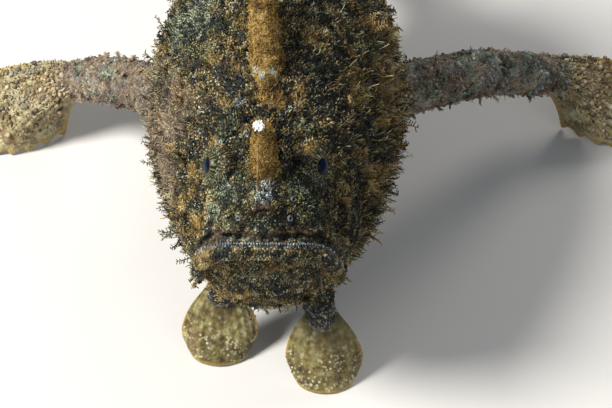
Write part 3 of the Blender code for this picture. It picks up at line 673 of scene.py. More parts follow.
# Markings of each tint: how strong, reach, and the body place
TINTS = ("warm", "green", "dark", "pale", "pink", "teal")
TINT = {name: column for column, name in enumerate(TINTS)}
MARKS = {
    "warm": (
        # the golden band from the brow back along the spines
        (1.0, 3.2, 0, 10.0, 15.5), (1.0, 3.2, 0, 20.8, 22.3), (0.9, 2.4, 1.8, 20.8, 22.0),
        (1.0, 3.6, 0.3, 26.0, 25.5), (0.9, 3.2, 0, 34.0, 30.5),
        # tufts of gold on the forehead and the sides
        (0.5, 2.6, -5.1, 25.4, 23.7), (0.45, 2.4, -6.8, 21.2, 20.8), (0.45, 3.0, -9.5, 28.5, 22.8),
        (0.45, 3.0, 7.5, 31.0, 26.0), (0.45, 2.5, 5.2, 21.8, 21.5), (0.4, 3.0, 14.5, 30.0, 19.0),
        (0.5, 3.4, 19.2, 34.4, 13.8), (0.5, 2.6, 13.5, 26.0, 17.0), (0.4, 3.4, -14.5, 27.0, 18.0),
        (0.45, 3.6, 17.5, 22.0, 4.0), (0.4, 3.0, -4.5, 35.0, 28.0), (0.35, 3.4, -17.5, 17.0, 5.0),
        (0.4, 2.2, -11.5, 13.0, 11.5), (0.35, 2.2, 10.6, 14.0, 14.6), (0.4, 4.0, 20.5, 48.0, 16.0),
        # orange and ochre patches of the face
        (0.8, 1.7, -8.6, 15.6, 16.4), (0.8, 1.7, 7.4, 13.1, 17.1), (0.8, 2.2, 1.1, 1.6, 2.1),
        (0.7, 2.4, -11.4, 8.7, 5.5), (0.7, 1.4, 6.4, 3.5, 8.4), (0.5, 1.3, -5.1, 2.6, 8.2),
        (0.6, 2.4, -8.6, 2.4, 4.8), (0.5, 2.6, 3.9, 1.7, -1.7), (0.5, 2.8, -3.6, 3.8, -7.3),
        (0.6, 2.4, 10.5, 5.6, -3.4), (0.5, 3.0, -14.5, 12.5, 4.0), (0.5, 2.2, -12.6, 15.3, 10.9),
        # golden tufts of the side that faces away from the light, their gold partly painted rim light
        (0.9, 1.8, 16.8, 43.1, 21.1), (0.9, 1.8, 22.3, 41.5, 7.8), (0.9, 1.8, 22.7, 35.3, 4.3),
        (0.9, 1.8, 20.0, 27.0, 2.0), (0.9, 1.8, 18.4, 28.2, 10.9), (0.9, 1.6, 13.7, 33.3, 22.0),
        (0.9, 1.6, 18.6, 20.6, -3.0), (0.8, 1.8, 16.4, 20.0, 7.0), (0.8, 1.6, 15.0, 15.6, 1.0),
    ),
    "green": (
        # broad tints of the snout and the jaw
        (0.4, 6.5, -3.5, 5.5, 11.5), (0.45, 6.5, 4.5, 5.5, 11.5),
        # mossy patches beside the snout and on the forehead
        (0.9, 2.3, -4.4, 6.2, 12.4), (0.9, 2.4, 5.2, 6.6, 12.6), (0.7, 2.4, -3.9, 8.8, 14.9),
        (0.7, 2.4, 3.1, 8.6, 15.0), (0.9, 3.2, -6.8, 17.5, 19.0), (0.9, 3.0, 7.1, 16.9, 19.4),
        (0.6, 3.0, -9.6, 8.8, 12.3), (0.5, 4.0, -11.4, 31.5, 23.2), (0.6, 3.4, 8.5, 27.5, 22.6),
        (0.5, 3.0, -8.2, 34.0, 26.0), (0.5, 3.0, -14.0, 9.0, -3.0),
    ),
    "dark": (
        # broad tints of the snout and the jaw
        (0.28, 8.0, 2.0, 4.5, 9.0), (0.3, 7.0, 2.0, 2.5, 0.5), (0.45, 9.0, 13.0, 12.0, 6.0),
        # orange and ochre patches of the face
        (0.5, 2.4, -8.6, 2.4, 4.8), (0.9, 2.6, 9.5, 3.2, 4.2),
        # black-brown blotches
        (1.0, 2.6, 3.9, 12.0, 17.0), (1.0, 3.0, -5.7, 23.2, 22.3), (0.8, 2.2, -7.5, 26.2, 23.1),
        (0.9, 2.0, -0.2, 18.4, 21.0), (0.8, 2.6, -10.0, 21.1, 18.7), (0.9, 1.3, -4.8, 2.0, 3.6),
        (0.9, 1.3, 6.9, 1.2, 4.6), (0.7, 4.0, 14.6, 14.5, 5.4), (0.7, 4.0, 13.4, 21.0, 14.8),
        (0.8, 3.0, 10.8, 8.5, -6.9), (0.6, 4.0, 17.5, 25.0, 8.0), (0.8, 2.8, 8.5, 23.5, 21.2),
        (0.6, 3.4, 4.6, 26.5, 24.0), (0.8, 4.6, 16.0, 17.9, -1.5), (0.7, 2.6, 11.9, 9.9, 6.2),
        (0.6, 1.6, 9.3, 4.2, 4.0), (0.5, 2.4, -3.2, 12.6, 17.4), (0.6, 2.2, 9.8, 6.4, 8.6),
    ),
    "pale": (
        # whitish and lilac spots
        (0.95, 2.5, -0.1, 6.6, 14.0), (1.0, 1.0, -0.8, 22.7, 24.6), (1.0, 1.0, 0.9, 23.1, 25.1),
        (1.0, 0.8, -3.6, 15.4, 18.9), (0.6, 1.3, -7.3, 14.6, 16.8), (0.7, 1.0, 6.6, 11.4, 15.9),
        (0.7, 1.3, -11.8, 7.4, -3.4), (0.7, 1.3, 12.4, 7.6, -3.0), (0.8, 1.2, -4.5, 20.6, 21.3),
        (0.8, 1.0, -2.2, 23.9, 24.9), (0.7, 1.0, 13.4, 25.1, 17.9), (0.6, 0.9, -7.0, 20.4, 20.2),
    ),
    "pink": (
        # warm grey-pink areas of the side that faces the light
        (0.7, 8.5, -16.6, 27.5, 13.5), (0.7, 8.0, -18.2, 23.0, 3.0), (0.4, 5.0, -14.6, 12.5, -1.0),
        (0.25, 6.0, 18.5, 38.0, 12.0), (0.35, 5.0, -19.0, 24.0, -8.0), (0.6, 10.0, -21.0, 31.0, 5.0),
        (0.5, 7.0, -20.0, 40.0, 8.0),
    ),
    "teal": (
        # broad tints of the snout and the jaw
        (0.4, 4.5, 0, 2.4, 3.5), (0.35, 4.5, -6.0, 4.0, 8.0), (0.35, 4.5, 6.5, 4.0, 8.0),
        (0.3, 5.0, -1.0, 3.0, -2.0),
        # turquoise-grey granules
        (0.9, 3.2, -6.8, 7.9, 13.1), (0.9, 3.0, 6.4, 8.3, 13.3), (0.8, 2.5, -8.5, 6.7, 9.8),
        (0.6, 2.2, 8.1, 7.1, 10.6), (0.7, 2.3, 0, 3.1, 9.8), (0.7, 1.9, -5.0, 1.6, 5.0),
        (0.7, 1.9, 0, 0.9, 5.4), (0.8, 1.9, 5.0, 1.2, 5.0), (0.7, 1.8, -11.0, 5.6, -1.4),
        (0.5, 2.6, -2.5, 2.2, -0.6), (0.85, 9.0, -14.0, 39.5, 23.0), (0.5, 5.0, -19.5, 40.0, 14.0),
        # turquoise tufts of the arms
        (0.9, 2.2, -31.0, 56.9, -0.1), (0.9, 2.2, -41.5, 66.0, -14.0), (0.9, 2.2, -33.0, 56.5, -6.5),
        (0.9, 4.2, 45.4, 70.0, -7.3), (0.9, 3.0, 35.0, 57.4, -6.3), (0.9, 3.4, 41.4, 65.0, -5.0),
        (0.9, 2.2, 38.5, 56.5, -9.5),
    ),
}


def red_lines(points):
    """How close world points are to the red-brown folds of the upper lip and its arch, 0 to 1."""
    red = np.zeros(len(points))
    face = body_place(points)[:, 1] < FACE_DEPTH
    near = points[face]
    lip, slit = near_mouth(near, LIP_EDGE), near_mouth(near, SLIT)
    brow = near_line(near, ARCH_LINE) / UNIT
    folds = np.maximum(1 - smoothstep(0.35, 0.70, lip), 0.8 * (1 - smoothstep(0.30, 0.70, brow)))
    red[face] = folds * smoothstep(0.2, 0.5, slit)
    return red


def tints_at(points, region):
    """The six tints' strengths at world points, as an array of six columns."""
    place = body_place(points)
    ragged = noise(points, 0.0016, SEED + 20, 2) * 0.45
    tints = np.zeros((len(points), len(TINTS)))
    for name, marks in MARKS.items():
        column = TINT[name]
        for strength, reach, *where in marks:
            distance = np.linalg.norm(place - where, axis=1)
            mark = strength * smoothstep(0, 0.55, 1 - distance / reach + ragged)
            tints[:, column] = np.maximum(tints[:, column], mark * (distance < reach * 1.6))

    def at_least(chosen, name, strength):
        tints[chosen, TINT[name]] = np.maximum(tints[chosen, TINT[name]], strength)

    arms = on_form(region, "arm")
    at_least(on_spines(region), "warm", 1.0)
    at_least(arms, "pink", 0.9)
    face = place[:, 1] < FACE_DEPTH
    lip_top = bell(near_mouth(points[face], SLIT - 0.75), 0.5)
    across = np.abs(place[:, 0])
    at_least(face, "teal", 0.75 * lip_top * (1 - smoothstep(6.5, 8.5, across[face])))
    hands = (across > HANDS_FROM) & ~arms
    feet = (points[:, 2] < FOOT_TOP) & (place[:, 1] < FEET_BACK) & (across < FEET_HALF_WIDTH)
    tints[hands | feet, TINT["pink"]] = 0.60
    tints[hands | feet, TINT["warm"]] = 0.30
    tints[hands, TINT["pale"]] = 0.45 * smoothstep(-0.1, 0.5, noise(points[hands], 0.0040, SEED + 31, 2))
    green_grey = smoothstep(0.05, 0.5, noise(points, 0.0050, SEED + 30, 2))
    at_least(arms, "teal", 0.8 * green_grey[arms])
    tints[arms, TINT["pale"]] = 0.55 * smoothstep(0.05, 0.5, noise(points[arms], 0.0026, SEED + 32, 2))
    tints[on_form(region, "leg"), TINT["pale"]] = 0.35
    return tints


def eye_stripes(points):
    """Stripes that run out from each eye over the skin round it, 0 to 1, and their strength."""
    stripes, strength = np.zeros(len(points)), np.zeros(len(points))
    for side in (1, -1):
        look, across, up = eye_axes(side)
        from_eye = points - fish(*eye_place(side))
        distance = np.linalg.norm(from_eye, axis=1) / UNIT
        turn = np.arctan2(from_eye @ up, from_eye @ across)
        waves = 0.5 + 0.5 * np.sin(turn * 30 + 1.3 * np.sin(turn * 5 + side))
        near = 1 - smoothstep(2.7, 4.0, distance)
        stripes = np.where(near > strength, waves, stripes)
        strength = np.maximum(strength, near)
    return stripes, strength


def marking_values(points, region):
    """What the markings read at world points, by attribute name."""
    tints = tints_at(points, region)
    eyeway = np.stack([*eye_stripes(points), red_lines(points)], 1)
    return {"place": points, "tint_a": tints[:, :3], "tint_b": tints[:, 3:], "eyeway": eyeway}


def chart_places(points, region):
    """Where each point falls on a flat unwrap of the skin's own shape, within 0 to 1."""
    place = body_place(points)
    turn = np.arctan2(place[:, 2], place[:, 0] + 1e-9) / (2 * math.pi) + 0.5
    chart = np.stack([0.02 + 0.96 * np.clip(place[:, 1] / 102, 0, 1), 0.22 + 0.76 * turn], 1)
    for number, name in enumerate(REGIONS[1:]):
        on = region == number + 1
        if not on.any():
            continue
        path, _ = LIMBS[name]
        start, end = np.array(path[0]), np.array(path[-1])
        along = (points[on] - start) @ (end - start) / ((end - start) @ (end - start))
        axis = unit(end - start)
        side = unit(np.cross(axis, (0.0, 1.0, 0.1)))
        off = points[on] - start
        around = np.arctan2(off @ np.cross(axis, side), off @ side) / (2 * math.pi) + 0.5
        chart[on, 0] = (number + 0.05 + 0.9 * around) / 6
        chart[on, 1] = 0.01 + 0.18 * np.clip(along * 0.7 + 0.15, 0, 1)
    return chart


# Coat: each kind has variants of one make, so that all are planted at once


class Make:
    """A small growth in its own frame: across, facing and along, with its top near 1.

    Places are in the growth's width across and facing, and in its length along. aspect is the
    length over the width. Each ring keeps its centre and its points' offsets, in widths.
    """

    def __init__(self, aspect):
        self.aspect = aspect
        self.centres, self.offsets, self.tips, self.triangles = [], [], [], []

    def cord(self, path, radii, sides=3, flat=1.0):
        """A closed blunt cord through a path."""
        path = np.array(path, float)
        tangents = unit(np.gradient(path * (1, 1, self.aspect), axis=0))
        first, count = len(self.centres), len(path)
        for place, tangent, radius in zip(path, tangents, radii):
            across = unit(np.cross(tangent, (0.1, 1.0, 0.05)))
            facing = np.cross(across, tangent)
            for k in range(sides):
                a = 2 * math.pi * k / sides + 0.5
                self.centres.append(place)
                self.offsets.append(radius * (across * math.cos(a) + facing * math.sin(a) * flat))
        start = min(path[0][2], 0.5)
        self.tips += list(np.repeat(np.linspace(start, 1, count), sides))
        for row in range(count - 1):
            for k in range(sides):
                a, b = first + row * sides + k, first + row * sides + (k + 1) % sides
                self.triangles += [(a, b, b + sides), (a, b + sides, a + sides)]
        last = first + (count - 1) * sides
        for k in range(1, sides - 1):
            self.triangles += [(first, first + k + 1, first + k), (last, last + k, last + k + 1)]


def nub_make(made, rng):
    """A short blunt filament, a little bent."""
    lean, hook = rng.uniform(-0.7, 0.7), rng.uniform(-0.2, 1.1)
    made.cord([(0, 0, 0), (lean * 0.3, hook * 0.1, 0.55), (lean, hook, 1.0)], (0.40, 0.48, 0.26))


def grain_make(made, rng):
    """A low round-topped papilla."""
    lean = rng.uniform(-0.2, 0.2)
    made.cord([(0, 0, 0), (lean, 0.05, 0.62), (lean * 1.4, 0.1, 1.0)], (0.44, 0.50, 0.26), 4)


def curl_make(made, rng):
    """A longer filament that curls over at its end."""
    lean, hook = rng.uniform(-1.4, 1.4), rng.uniform(0.8, 3.4)
    path = []
    for v in np.linspace(0, 1, 5):
        path.append((lean * v * v, hook * max(0.0, v - 0.3) ** 1.5, v - 0.45 * max(0.0, v - 0.7)))
    made.cord(path, (0.46, 0.44, 0.42, 0.38, 0.28))


def tuft_make(made, rng):
    """A short stem with blunt branches that rise beside it."""
    lean = rng.uniform(-0.6, 0.6)
    made.cord([(0, 0, 0), (lean * 0.5, 0.1, 0.5), (lean, 0.4, 1.0)], (0.46, 0.42, 0.32))
    turn = rng.uniform(0, 6.28)
    for k in range(3):
        start = 0.12 + 0.20 * k + rng.uniform(-0.05, 0.05)
        turn += 2.1 + rng.uniform(-0.4, 0.4)
        reach = rng.uniform(1.0, 1.7)
        root = np.array((lean * start, 0.2 * start, start))
        rise = rng.uniform(0.28, 0.42)
        out = np.array((math.cos(turn) * reach, math.sin(turn) * reach, rise))
        made.cord([root, root + out], (0.40, 0.32))


def knob_make(made, rng):
    """A round-headed papilla."""
    lean, wide = rng.uniform(-0.1, 0.1), rng.uniform(0.85, 1.1)
    path = [(lean * v, 0.05 * v, v) for v in (0, 0.35, 0.68, 0.90, 1.0)]
    made.cord(path, tuple(0.5 * wide * r for r in (0.85, 0.92, 1.0, 0.78, 0.36)), 6)


def plume_make(made, rng):
    """A long stem with a comb of blunt branches along both sides."""
    bend = rng.uniform(-1.6, 1.6)

    def stem(v):
        return np.array((bend * math.sin(v * 2.0), 1.3 * v * v, v))

    made.cord([stem(v) for v in (0, 0.25, 0.5, 0.75, 1)], (0.5, 0.46, 0.40, 0.34, 0.24), 4)
    for k in range(11):
        start = 0.16 + 0.076 * k
        side = (-1) ** k if rng.random() < 0.8 else (-1) ** (k + 1)
        reach = rng.uniform(2.0, 4.2) * (1.05 - 0.6 * abs(start - 0.5))
        out = np.array((side * reach, rng.uniform(-0.6, 1.4), rng.uniform(0.03, 0.13)))
        made.cord([stem(start), stem(start) + out], (0.42, 0.36))


def frond_make(made, rng):
    """A flat blade of skin with lobes along its edges."""
    bend = rng.uniform(-0.5, 0.5)

    def blade(v):
        return np.array((bend * v * v, 0.5 * v * v, v))

    made.cord([blade(v) for v in (0, 0.3, 0.6, 0.88, 1)], (0.11, 0.25, 0.32, 0.25, 0.10), 6, 0.35)
    for k in range(7):
        start = 0.20 + 0.115 * k
        side = (-1) ** k
        out = np.array((side * rng.uniform(0.40, 0.80), rng.uniform(-0.3, 0.3), rng.uniform(0.06, 0.20)))
        made.cord([blade(start), blade(start) + out], (0.14, 0.085), 4, 0.8)


class Kind:
    """Variants of one growth: centres, offsets, tip values and the triangles that they share."""

    def __init__(self, maker, variants, aspect):
        rng = np.random.default_rng(SEED + variants)
        made = [Make(aspect) for _ in range(variants)]
        for growth in made:
            maker(growth, rng)
        self.centres = np.array([m.centres for m in made])
        self.offsets = np.array([m.offsets for m in made])
        self.tips = np.array([m.tips for m in made])
        self.triangles = np.array(made[0].triangles)
        self.reach = np.abs(self.centres + self.offsets)[:, :, 0].max()


# Each kind's maker, how many variants it has, and its length over its width
NUB = Kind(nub_make, 12, 3.5)
GRAIN = Kind(grain_make, 12, 1.7)
TUFT = Kind(tuft_make, 16, 5.5)
KNOB = Kind(knob_make, 8, 1.4)
CURL = Kind(curl_make, 14, 7.0)
PLUME = Kind(plume_make, 14, 14.0)
FROND = Kind(frond_make, 10, 2.0)
LONG_KINDS = {
    "plume": Kind(plume_make, 14, 16.0),
    "frond": Kind(frond_make, 10, 2.6),
    "curl": Kind(curl_make, 14, 11.0),
}


class Ground:
    """A mesh as arrays to plant on."""

    def __init__(self, mesh):
        self.points, self.normals, self.triangles = arrays_of(mesh)
        a, b, c = (self.points[self.triangles[:, k]] for k in range(3))
        cross = np.cross(b - a, c - a)
        self.areas = np.linalg.norm(cross, axis=1) / 2
        self.centres = (a + b + c) / 3
        self.region, _ = regions_of(self.centres)
        self.place = body_place(self.centres)
        self.eye = near_eyes(self.centres)
        way, _ = clumps(self.centres, CLUMP, SEED + 46)
        self.cluster = np.clip(1.75 - 1.6 * np.linalg.norm(way, axis=1), 0.35, 1.6)
        self.mouth = np.full(len(self.centres), 99.0)
        face = self.place[:, 1] < FACE_DEPTH
        self.mouth[face] = near_mouth(self.centres[face], SLIT)

    def roots(self, density, rng):
        """Random places: density is how many a square millimetre, over all or for each triangle."""
        expected = self.areas * 1e6 * density * self.cluster
        counts = (expected + rng.random(len(expected))).astype(int)
        chosen = np.repeat(np.arange(len(counts)), counts)
        a, b = np.sort(rng.random((2, len(chosen))), axis=0)
        weights = np.stack([a, b - a, 1 - b], 1)[:, :, None]
        corners = self.triangles[chosen]
        points = (self.points[corners] * weights).sum(1)
        normals = unit((self.normals[corners] * weights).sum(1))
        return chosen, points, normals


def lie_at(points, normals, region, toward):
    """The way that growths lean: back over the body, out from the eyes, along limbs and spines."""
    place = body_place(points)
    lie = np.zeros((len(points), 3)) + body_direction(0, 1, 0) * 1.0 + (0, 0, -0.25)
    lie[:, 0] += 0.6 * np.sign(place[:, 0]) * smoothstep(2, 14, np.abs(place[:, 0]))
    upper = (place[:, 1] < FACE_DEPTH) & (place[:, 2] > 4)
    lie[upper] += (0, 0, 0.8)
    below = (place[:, 2] < 4 - 1.1 * (place[:, 1] - 4)) & (place[:, 1] < FACE_DEPTH)
    lie[below] = (0, -0.3, -1.0)
    lie[below, 0] += 0.05 * place[below, 0]
    for side in (1, -1):
        out = points - fish(*eye_place(side))
        distance = np.linalg.norm(out, axis=1) / UNIT
        near = (1 - smoothstep(3, 7, distance))[:, None]
        lie = lie * (1 - near) + unit(out) * near * 1.2
    limbs = region > 0
    lie[limbs] = toward[limbs] + (0, 0, -0.25)
    spines = on_spines(region)
    lie[spines] = toward[spines] * 0.8 + (0, 0.1, 0.5)
    for axis in range(3):
        lie[:, axis] += 0.55 * noise(points, 0.004, SEED + 40 + axis, 2)
    lie -= normals * (lie * normals).sum(1)[:, None]
    return unit(lie)


# The most triangles in a piece of the coat, and in metres how deep roots sit and how low growths reach
COAT_LIMIT = 190000
SUNK = 0.00015
COAT_CLEARANCE = 0.0003
# How far growths turn at random, how far a tip leans over, in its length, and its patch of the UV square
WILD = 0.28
DROOP = 0.15
UV_PATCH = 0.003


def plant(name, ground, kind, density, length, width, tilt, seed, slot, finish, splay=0.9):
    """Plants one kind of growth over the skin.

    density, length and width are numbers, or arrays over the skin's triangles; tilt is (least, most)
    degrees; splay spreads the growths of a clump.
    """
    length, width = (np.broadcast_to(values, ground.areas.shape) for values in (length, width))
    rng = np.random.default_rng(seed)
    chosen, roots, normals = ground.roots(density, rng)
    order = rng.permutation(len(chosen))
    chosen, roots, normals = chosen[order], roots[order], normals[order]
    region, toward = regions_of(roots)
    lie = lie_at(roots, normals, region, toward)
    lean = np.radians(rng.uniform(*tilt, len(roots)))[:, None]
    way, shared = clumps(roots, CLUMP, SEED + 46)
    along = normals * np.cos(lean) + lie * np.sin(lean) - way * splay
    along = unit(along + rng.normal(0, WILD, (len(roots), 3)))
    along = unit(along + normals * np.maximum(0.12 - (along * normals).sum(1), 0)[:, None])
    size = rng.uniform(0.7, 1.2, len(roots)) * (0.75 + 0.45 * shared)
    long = length[chosen] * size
    wide = width[chosen] * rng.uniform(0.62, 1.35, len(roots))
    grow(name, kind, roots, normals, along, lie, long, wide, rng, shared, slot, finish)


def bake_places(charts, patch):
    """Each growth's small patch at its root's place in the chart, the chart spread to fill the square."""
    low, high = charts.min(0), charts.max(0)
    spread = 0.004 + 0.992 * (charts - low) / np.maximum(high - low, 1e-6)
    return np.clip(spread[:, None] + patch, 0.0005, 0.9995).reshape(-1, 2)


def grow(name, kind, roots, normals, along, lie, long, wide, rng, shared, slot, finish):
    """Growths of one kind from the given roots, in pieces of at most COAT_LIMIT triangles."""
    region, _ = regions_of(roots)
    across = unit(np.cross(along, normals + rng.normal(0, 0.05, (len(roots), 3))))
    turn = rng.uniform(-math.pi, math.pi, len(roots))[:, None]
    across = across * np.cos(turn) + np.cross(along, across) * np.sin(turn)
    facing = np.cross(across, along)
    long, wide = long[:, None, None], wide[:, None, None]
    which = rng.integers(0, len(kind.centres), len(roots))
    v = kind.centres[which][:, :, 2:]
    u, w, rise = (kind.offsets[which][:, :, k : k + 1] for k in range(3))
    u = u + kind.centres[which][:, :, :1]
    w = w + kind.centres[which][:, :, 1:2]
    points = roots[:, None] - normals[:, None] * SUNK
    points = points + along[:, None] * (v * long + rise * wide) + across[:, None] * u * wide
    points = points + facing[:, None] * w * wide + lie[:, None] * DROOP * v * v * long
    points[:, :, 2] = np.maximum(points[:, :, 2], COAT_CLEARANCE)
    values = marking_values(roots, region)
    charts = chart_places(roots, region)
    chance, hue = rng.random((2, len(roots)))
    chance = 0.55 * shared + 0.45 * chance
    hue = np.where(rng.random(len(roots)) < 0.7, (shared * 7.13) % 1, hue)
    each = kind.centres.shape[1]
    per = max(1, COAT_LIMIT // len(kind.triangles))
    for number, start in enumerate(range(0, len(roots), per), 1):
        part = slice(start, start + per)
        count = len(roots[part])
        faces = (kind.triangles[None] + (np.arange(count) * each)[:, None, None]).reshape(-1, 3)
        mesh = mesh_of(f"{name}_{number}", points[part].reshape(-1, 3), faces)
        for attribute, vectors in values.items():
            set_vectors(mesh, attribute, np.repeat(vectors[part], each, axis=0))
        tips = kind.tips[which[part]].ravel()
        growth = np.stack([np.repeat(chance[part], each), np.repeat(hue[part], each), tips], 1)
        set_vectors(mesh, "growth", growth)
        patch = np.stack([u[part, :, 0] / kind.reach * 0.5, v[part, :, 0] - 0.5], 2) * UV_PATCH
        layer = mesh.uv_layers.new(name="OFBake")
        places = bake_places(charts[part], patch)
        layer.data.foreach_set("uv", places[faces.ravel()].astype(np.float32).ravel())
        dressed(link_mesh(f"{name}_{number}", mesh), slot, finish)


# Materials


class Shader:
    """A short way to write a node tree."""

    def __init__(self, tree):
        self.tree = tree

    def add(self, kind, inputs=None, **settings):
        node = self.tree.nodes.new("ShaderNode" + kind)
        for key, value in settings.items():
            setattr(node, key, value)
        for key, value in (inputs or {}).items():
            if isinstance(value, bpy.types.NodeSocket):
                self.tree.links.new(value, node.inputs[key])
            else:
                node.inputs[key].default_value = value
        return node

    def value(self, name):
        return self.add("Attribute", attribute_name=name).outputs["Fac"]

    def vector(self, name):
        return self.add("Attribute", attribute_name=name).outputs["Vector"]

    def split(self, vector):
        return self.add("SeparateXYZ", {0: vector}).outputs

    def math(self, operation, a, b):
        return self.add("Math", {0: a, 1: b}, operation=operation).outputs[0]

    def times(self, a, b):
        return self.math("MULTIPLY", a, b)

    def plus(self, a, b):
        return self.math("ADD", a, b)

    def minus(self, a, b):
        return self.math("SUBTRACT", a, b)

    def most(self, a, b):
        return self.math("MAXIMUM", a, b)

    def noise(self, vector, scale, detail=2.0, roughness=0.55):
        inputs = {"Vector": vector, "Scale": scale, "Detail": detail, "Roughness": roughness}
        return self.add("TexNoise", inputs).outputs["Fac"]

    def cells(self, vector, scale):
        return self.add("TexVoronoi", {"Vector": vector, "Scale": scale, "Randomness": 1.0}).outputs

    def ramp(self, factor, stops):
        node = self.add("ValToRGB", {"Fac": factor})
        elements = node.color_ramp.elements
        while len(elements) < len(stops):
            elements.new(0.5)
        for element, (position, colour) in zip(elements, stops):
            element.position = position
            element.color = (*colour, 1.0)
        return node.outputs["Color"]

    def mix(self, factor, a, b, blend="MIX"):
        node = self.add("Mix", data_type="RGBA", blend_type=blend)
        for index, value in ((0, factor), (6, a), (7, b)):
            if isinstance(value, bpy.types.NodeSocket):
                self.tree.links.new(value, node.inputs[index])
            else:
                node.inputs[index].default_value = value if index == 0 else (*value, 1.0)
        return node.outputs[2]

    def between(self, value, low, high):
        inputs = {"Value": value, "From Min": low, "From Max": high}
        return self.add("MapRange", inputs, interpolation_type="SMOOTHSTEP").outputs["Result"]


NIGHT = (0.006, 0.009, 0.012)
UMBER = (0.028, 0.023, 0.012)
MOSS = (0.064, 0.076, 0.024)
OCHRE = (0.25, 0.155, 0.042)
TAN = (0.43, 0.295, 0.120)
CREAM = (0.64, 0.57, 0.33)
ASH = (0.10, 0.135, 0.145)
BASE = ((0.36, NIGHT), (0.445, UMBER), (0.49, MOSS), (0.55, OCHRE), (0.62, TAN), (0.71, CREAM))
WARM = (
    (0.34, (0.060, 0.030, 0.008)), (0.45, (0.27, 0.155, 0.034)), (0.56, (0.54, 0.355, 0.095)),
    (0.70, (0.72, 0.56, 0.24)),
)
GREEN = (
    (0.36, (0.006, 0.010, 0.006)), (0.46, (0.036, 0.052, 0.014)), (0.55, (0.12, 0.165, 0.065)),
    (0.68, (0.40, 0.46, 0.27)),
)
DARK = ((0.38, (0.004, 0.006, 0.010)), (0.56, (0.016, 0.019, 0.023)), (0.70, (0.11, 0.090, 0.052)))
PALE = ((0.34, (0.030, 0.044, 0.055)), (0.47, (0.30, 0.39, 0.43)), (0.60, (0.74, 0.85, 0.86)))
PINK = (
    (0.33, (0.110, 0.078, 0.064)), (0.46, (0.31, 0.228, 0.178)), (0.58, (0.51, 0.420, 0.340)),
    (0.71, (0.70, 0.65, 0.54)),
)
TEAL = (
    (0.36, (0.010, 0.016, 0.016)), (0.47, (0.062, 0.092, 0.080)), (0.57, (0.26, 0.36, 0.29)),
    (0.70, (0.58, 0.66, 0.47)),
)
RED = ((0.36, (0.026, 0.010, 0.006)), (0.50, (0.085, 0.034, 0.018)), (0.64, (0.21, 0.12, 0.07)))
# What single growths turn towards, by chance
HUES = (
    (0.00, (0.012, 0.018, 0.024)), (0.16, (0.06, 0.075, 0.022)), (0.30, (0.16, 0.145, 0.050)),
    (0.42, (0.38, 0.20, 0.045)), (0.54, (0.50, 0.33, 0.12)), (0.64, (0.12, 0.23, 0.18)),
    (0.78, (0.62, 0.58, 0.33)), (0.94, (0.60, 0.74, 0.64)),
)
# What the markings are multiplied by: grains and smooth parts of the skin, a growth's tip and chance
# painted shade: each skin grain darkens towards its edge, in the grooves that the bump sinks between grains
GRAIN_GROOVE_SHADE = ((0.16, (1.0, 0.98, 0.94)), (0.40, (0.42, 0.40, 0.40)), (0.56, (0.07, 0.075, 0.085)))
SMOOTH_TONES = ((0.38, (0.22, 0.21, 0.22)), (0.62, (0.85, 0.84, 0.82)))
# painted shade along each growth: near black at its root, brighter than its markings at its tip
ROOT_TO_TIP_SHADE = ((0.0, (0.16, 0.15, 0.14)), (0.5, (0.56, 0.55, 0.52)), (1.0, (1.15, 1.13, 1.08)))
CHANCE_TONES = ((0.15, (0.50, 0.50, 0.52)), (0.50, (0.85, 0.84, 0.83)), (0.85, (1.15, 1.13, 1.08)))
# The eye, from the middle of the pupil out, and the spokes of its iris
PUPIL_AND_RING = (
    (0.00, (0.003, 0.007, 0.024)), (0.40, (0.002, 0.006, 0.018)), (0.572, (0.001, 0.002, 0.006)),
    (0.588, (0.12, 0.042, 0.014)), (0.612, (0.080, 0.064, 0.030)), (0.640, (0.040, 0.040, 0.024)),
)
SPOKES = ((0.20, (0.010, 0.012, 0.010)), (0.55, (0.040, 0.042, 0.022)), (0.88, (0.150, 0.150, 0.070)))
# The fins' tones: their own colours, and on the feet also painted shade from the body above them
OLIVE_WITH_BODY_SHADE = (
    (0.36, (0.022, 0.013, 0.003)), (0.46, (0.078, 0.055, 0.010)), (0.54, (0.160, 0.132, 0.034)),
    (0.64, (0.31, 0.28, 0.125)),
)
PALM = (
    (0.36, (0.070, 0.046, 0.014)), (0.46, (0.19, 0.145, 0.055)), (0.54, (0.32, 0.275, 0.145)),
    (0.64, (0.48, 0.45, 0.30)),
)
BROWN = (
    (0.36, (0.030, 0.020, 0.010)), (0.46, (0.12, 0.075, 0.028)), (0.54, (0.26, 0.17, 0.070)),
    (0.64, (0.42, 0.33, 0.18)),
)


def grey(level):
    return level, level, level


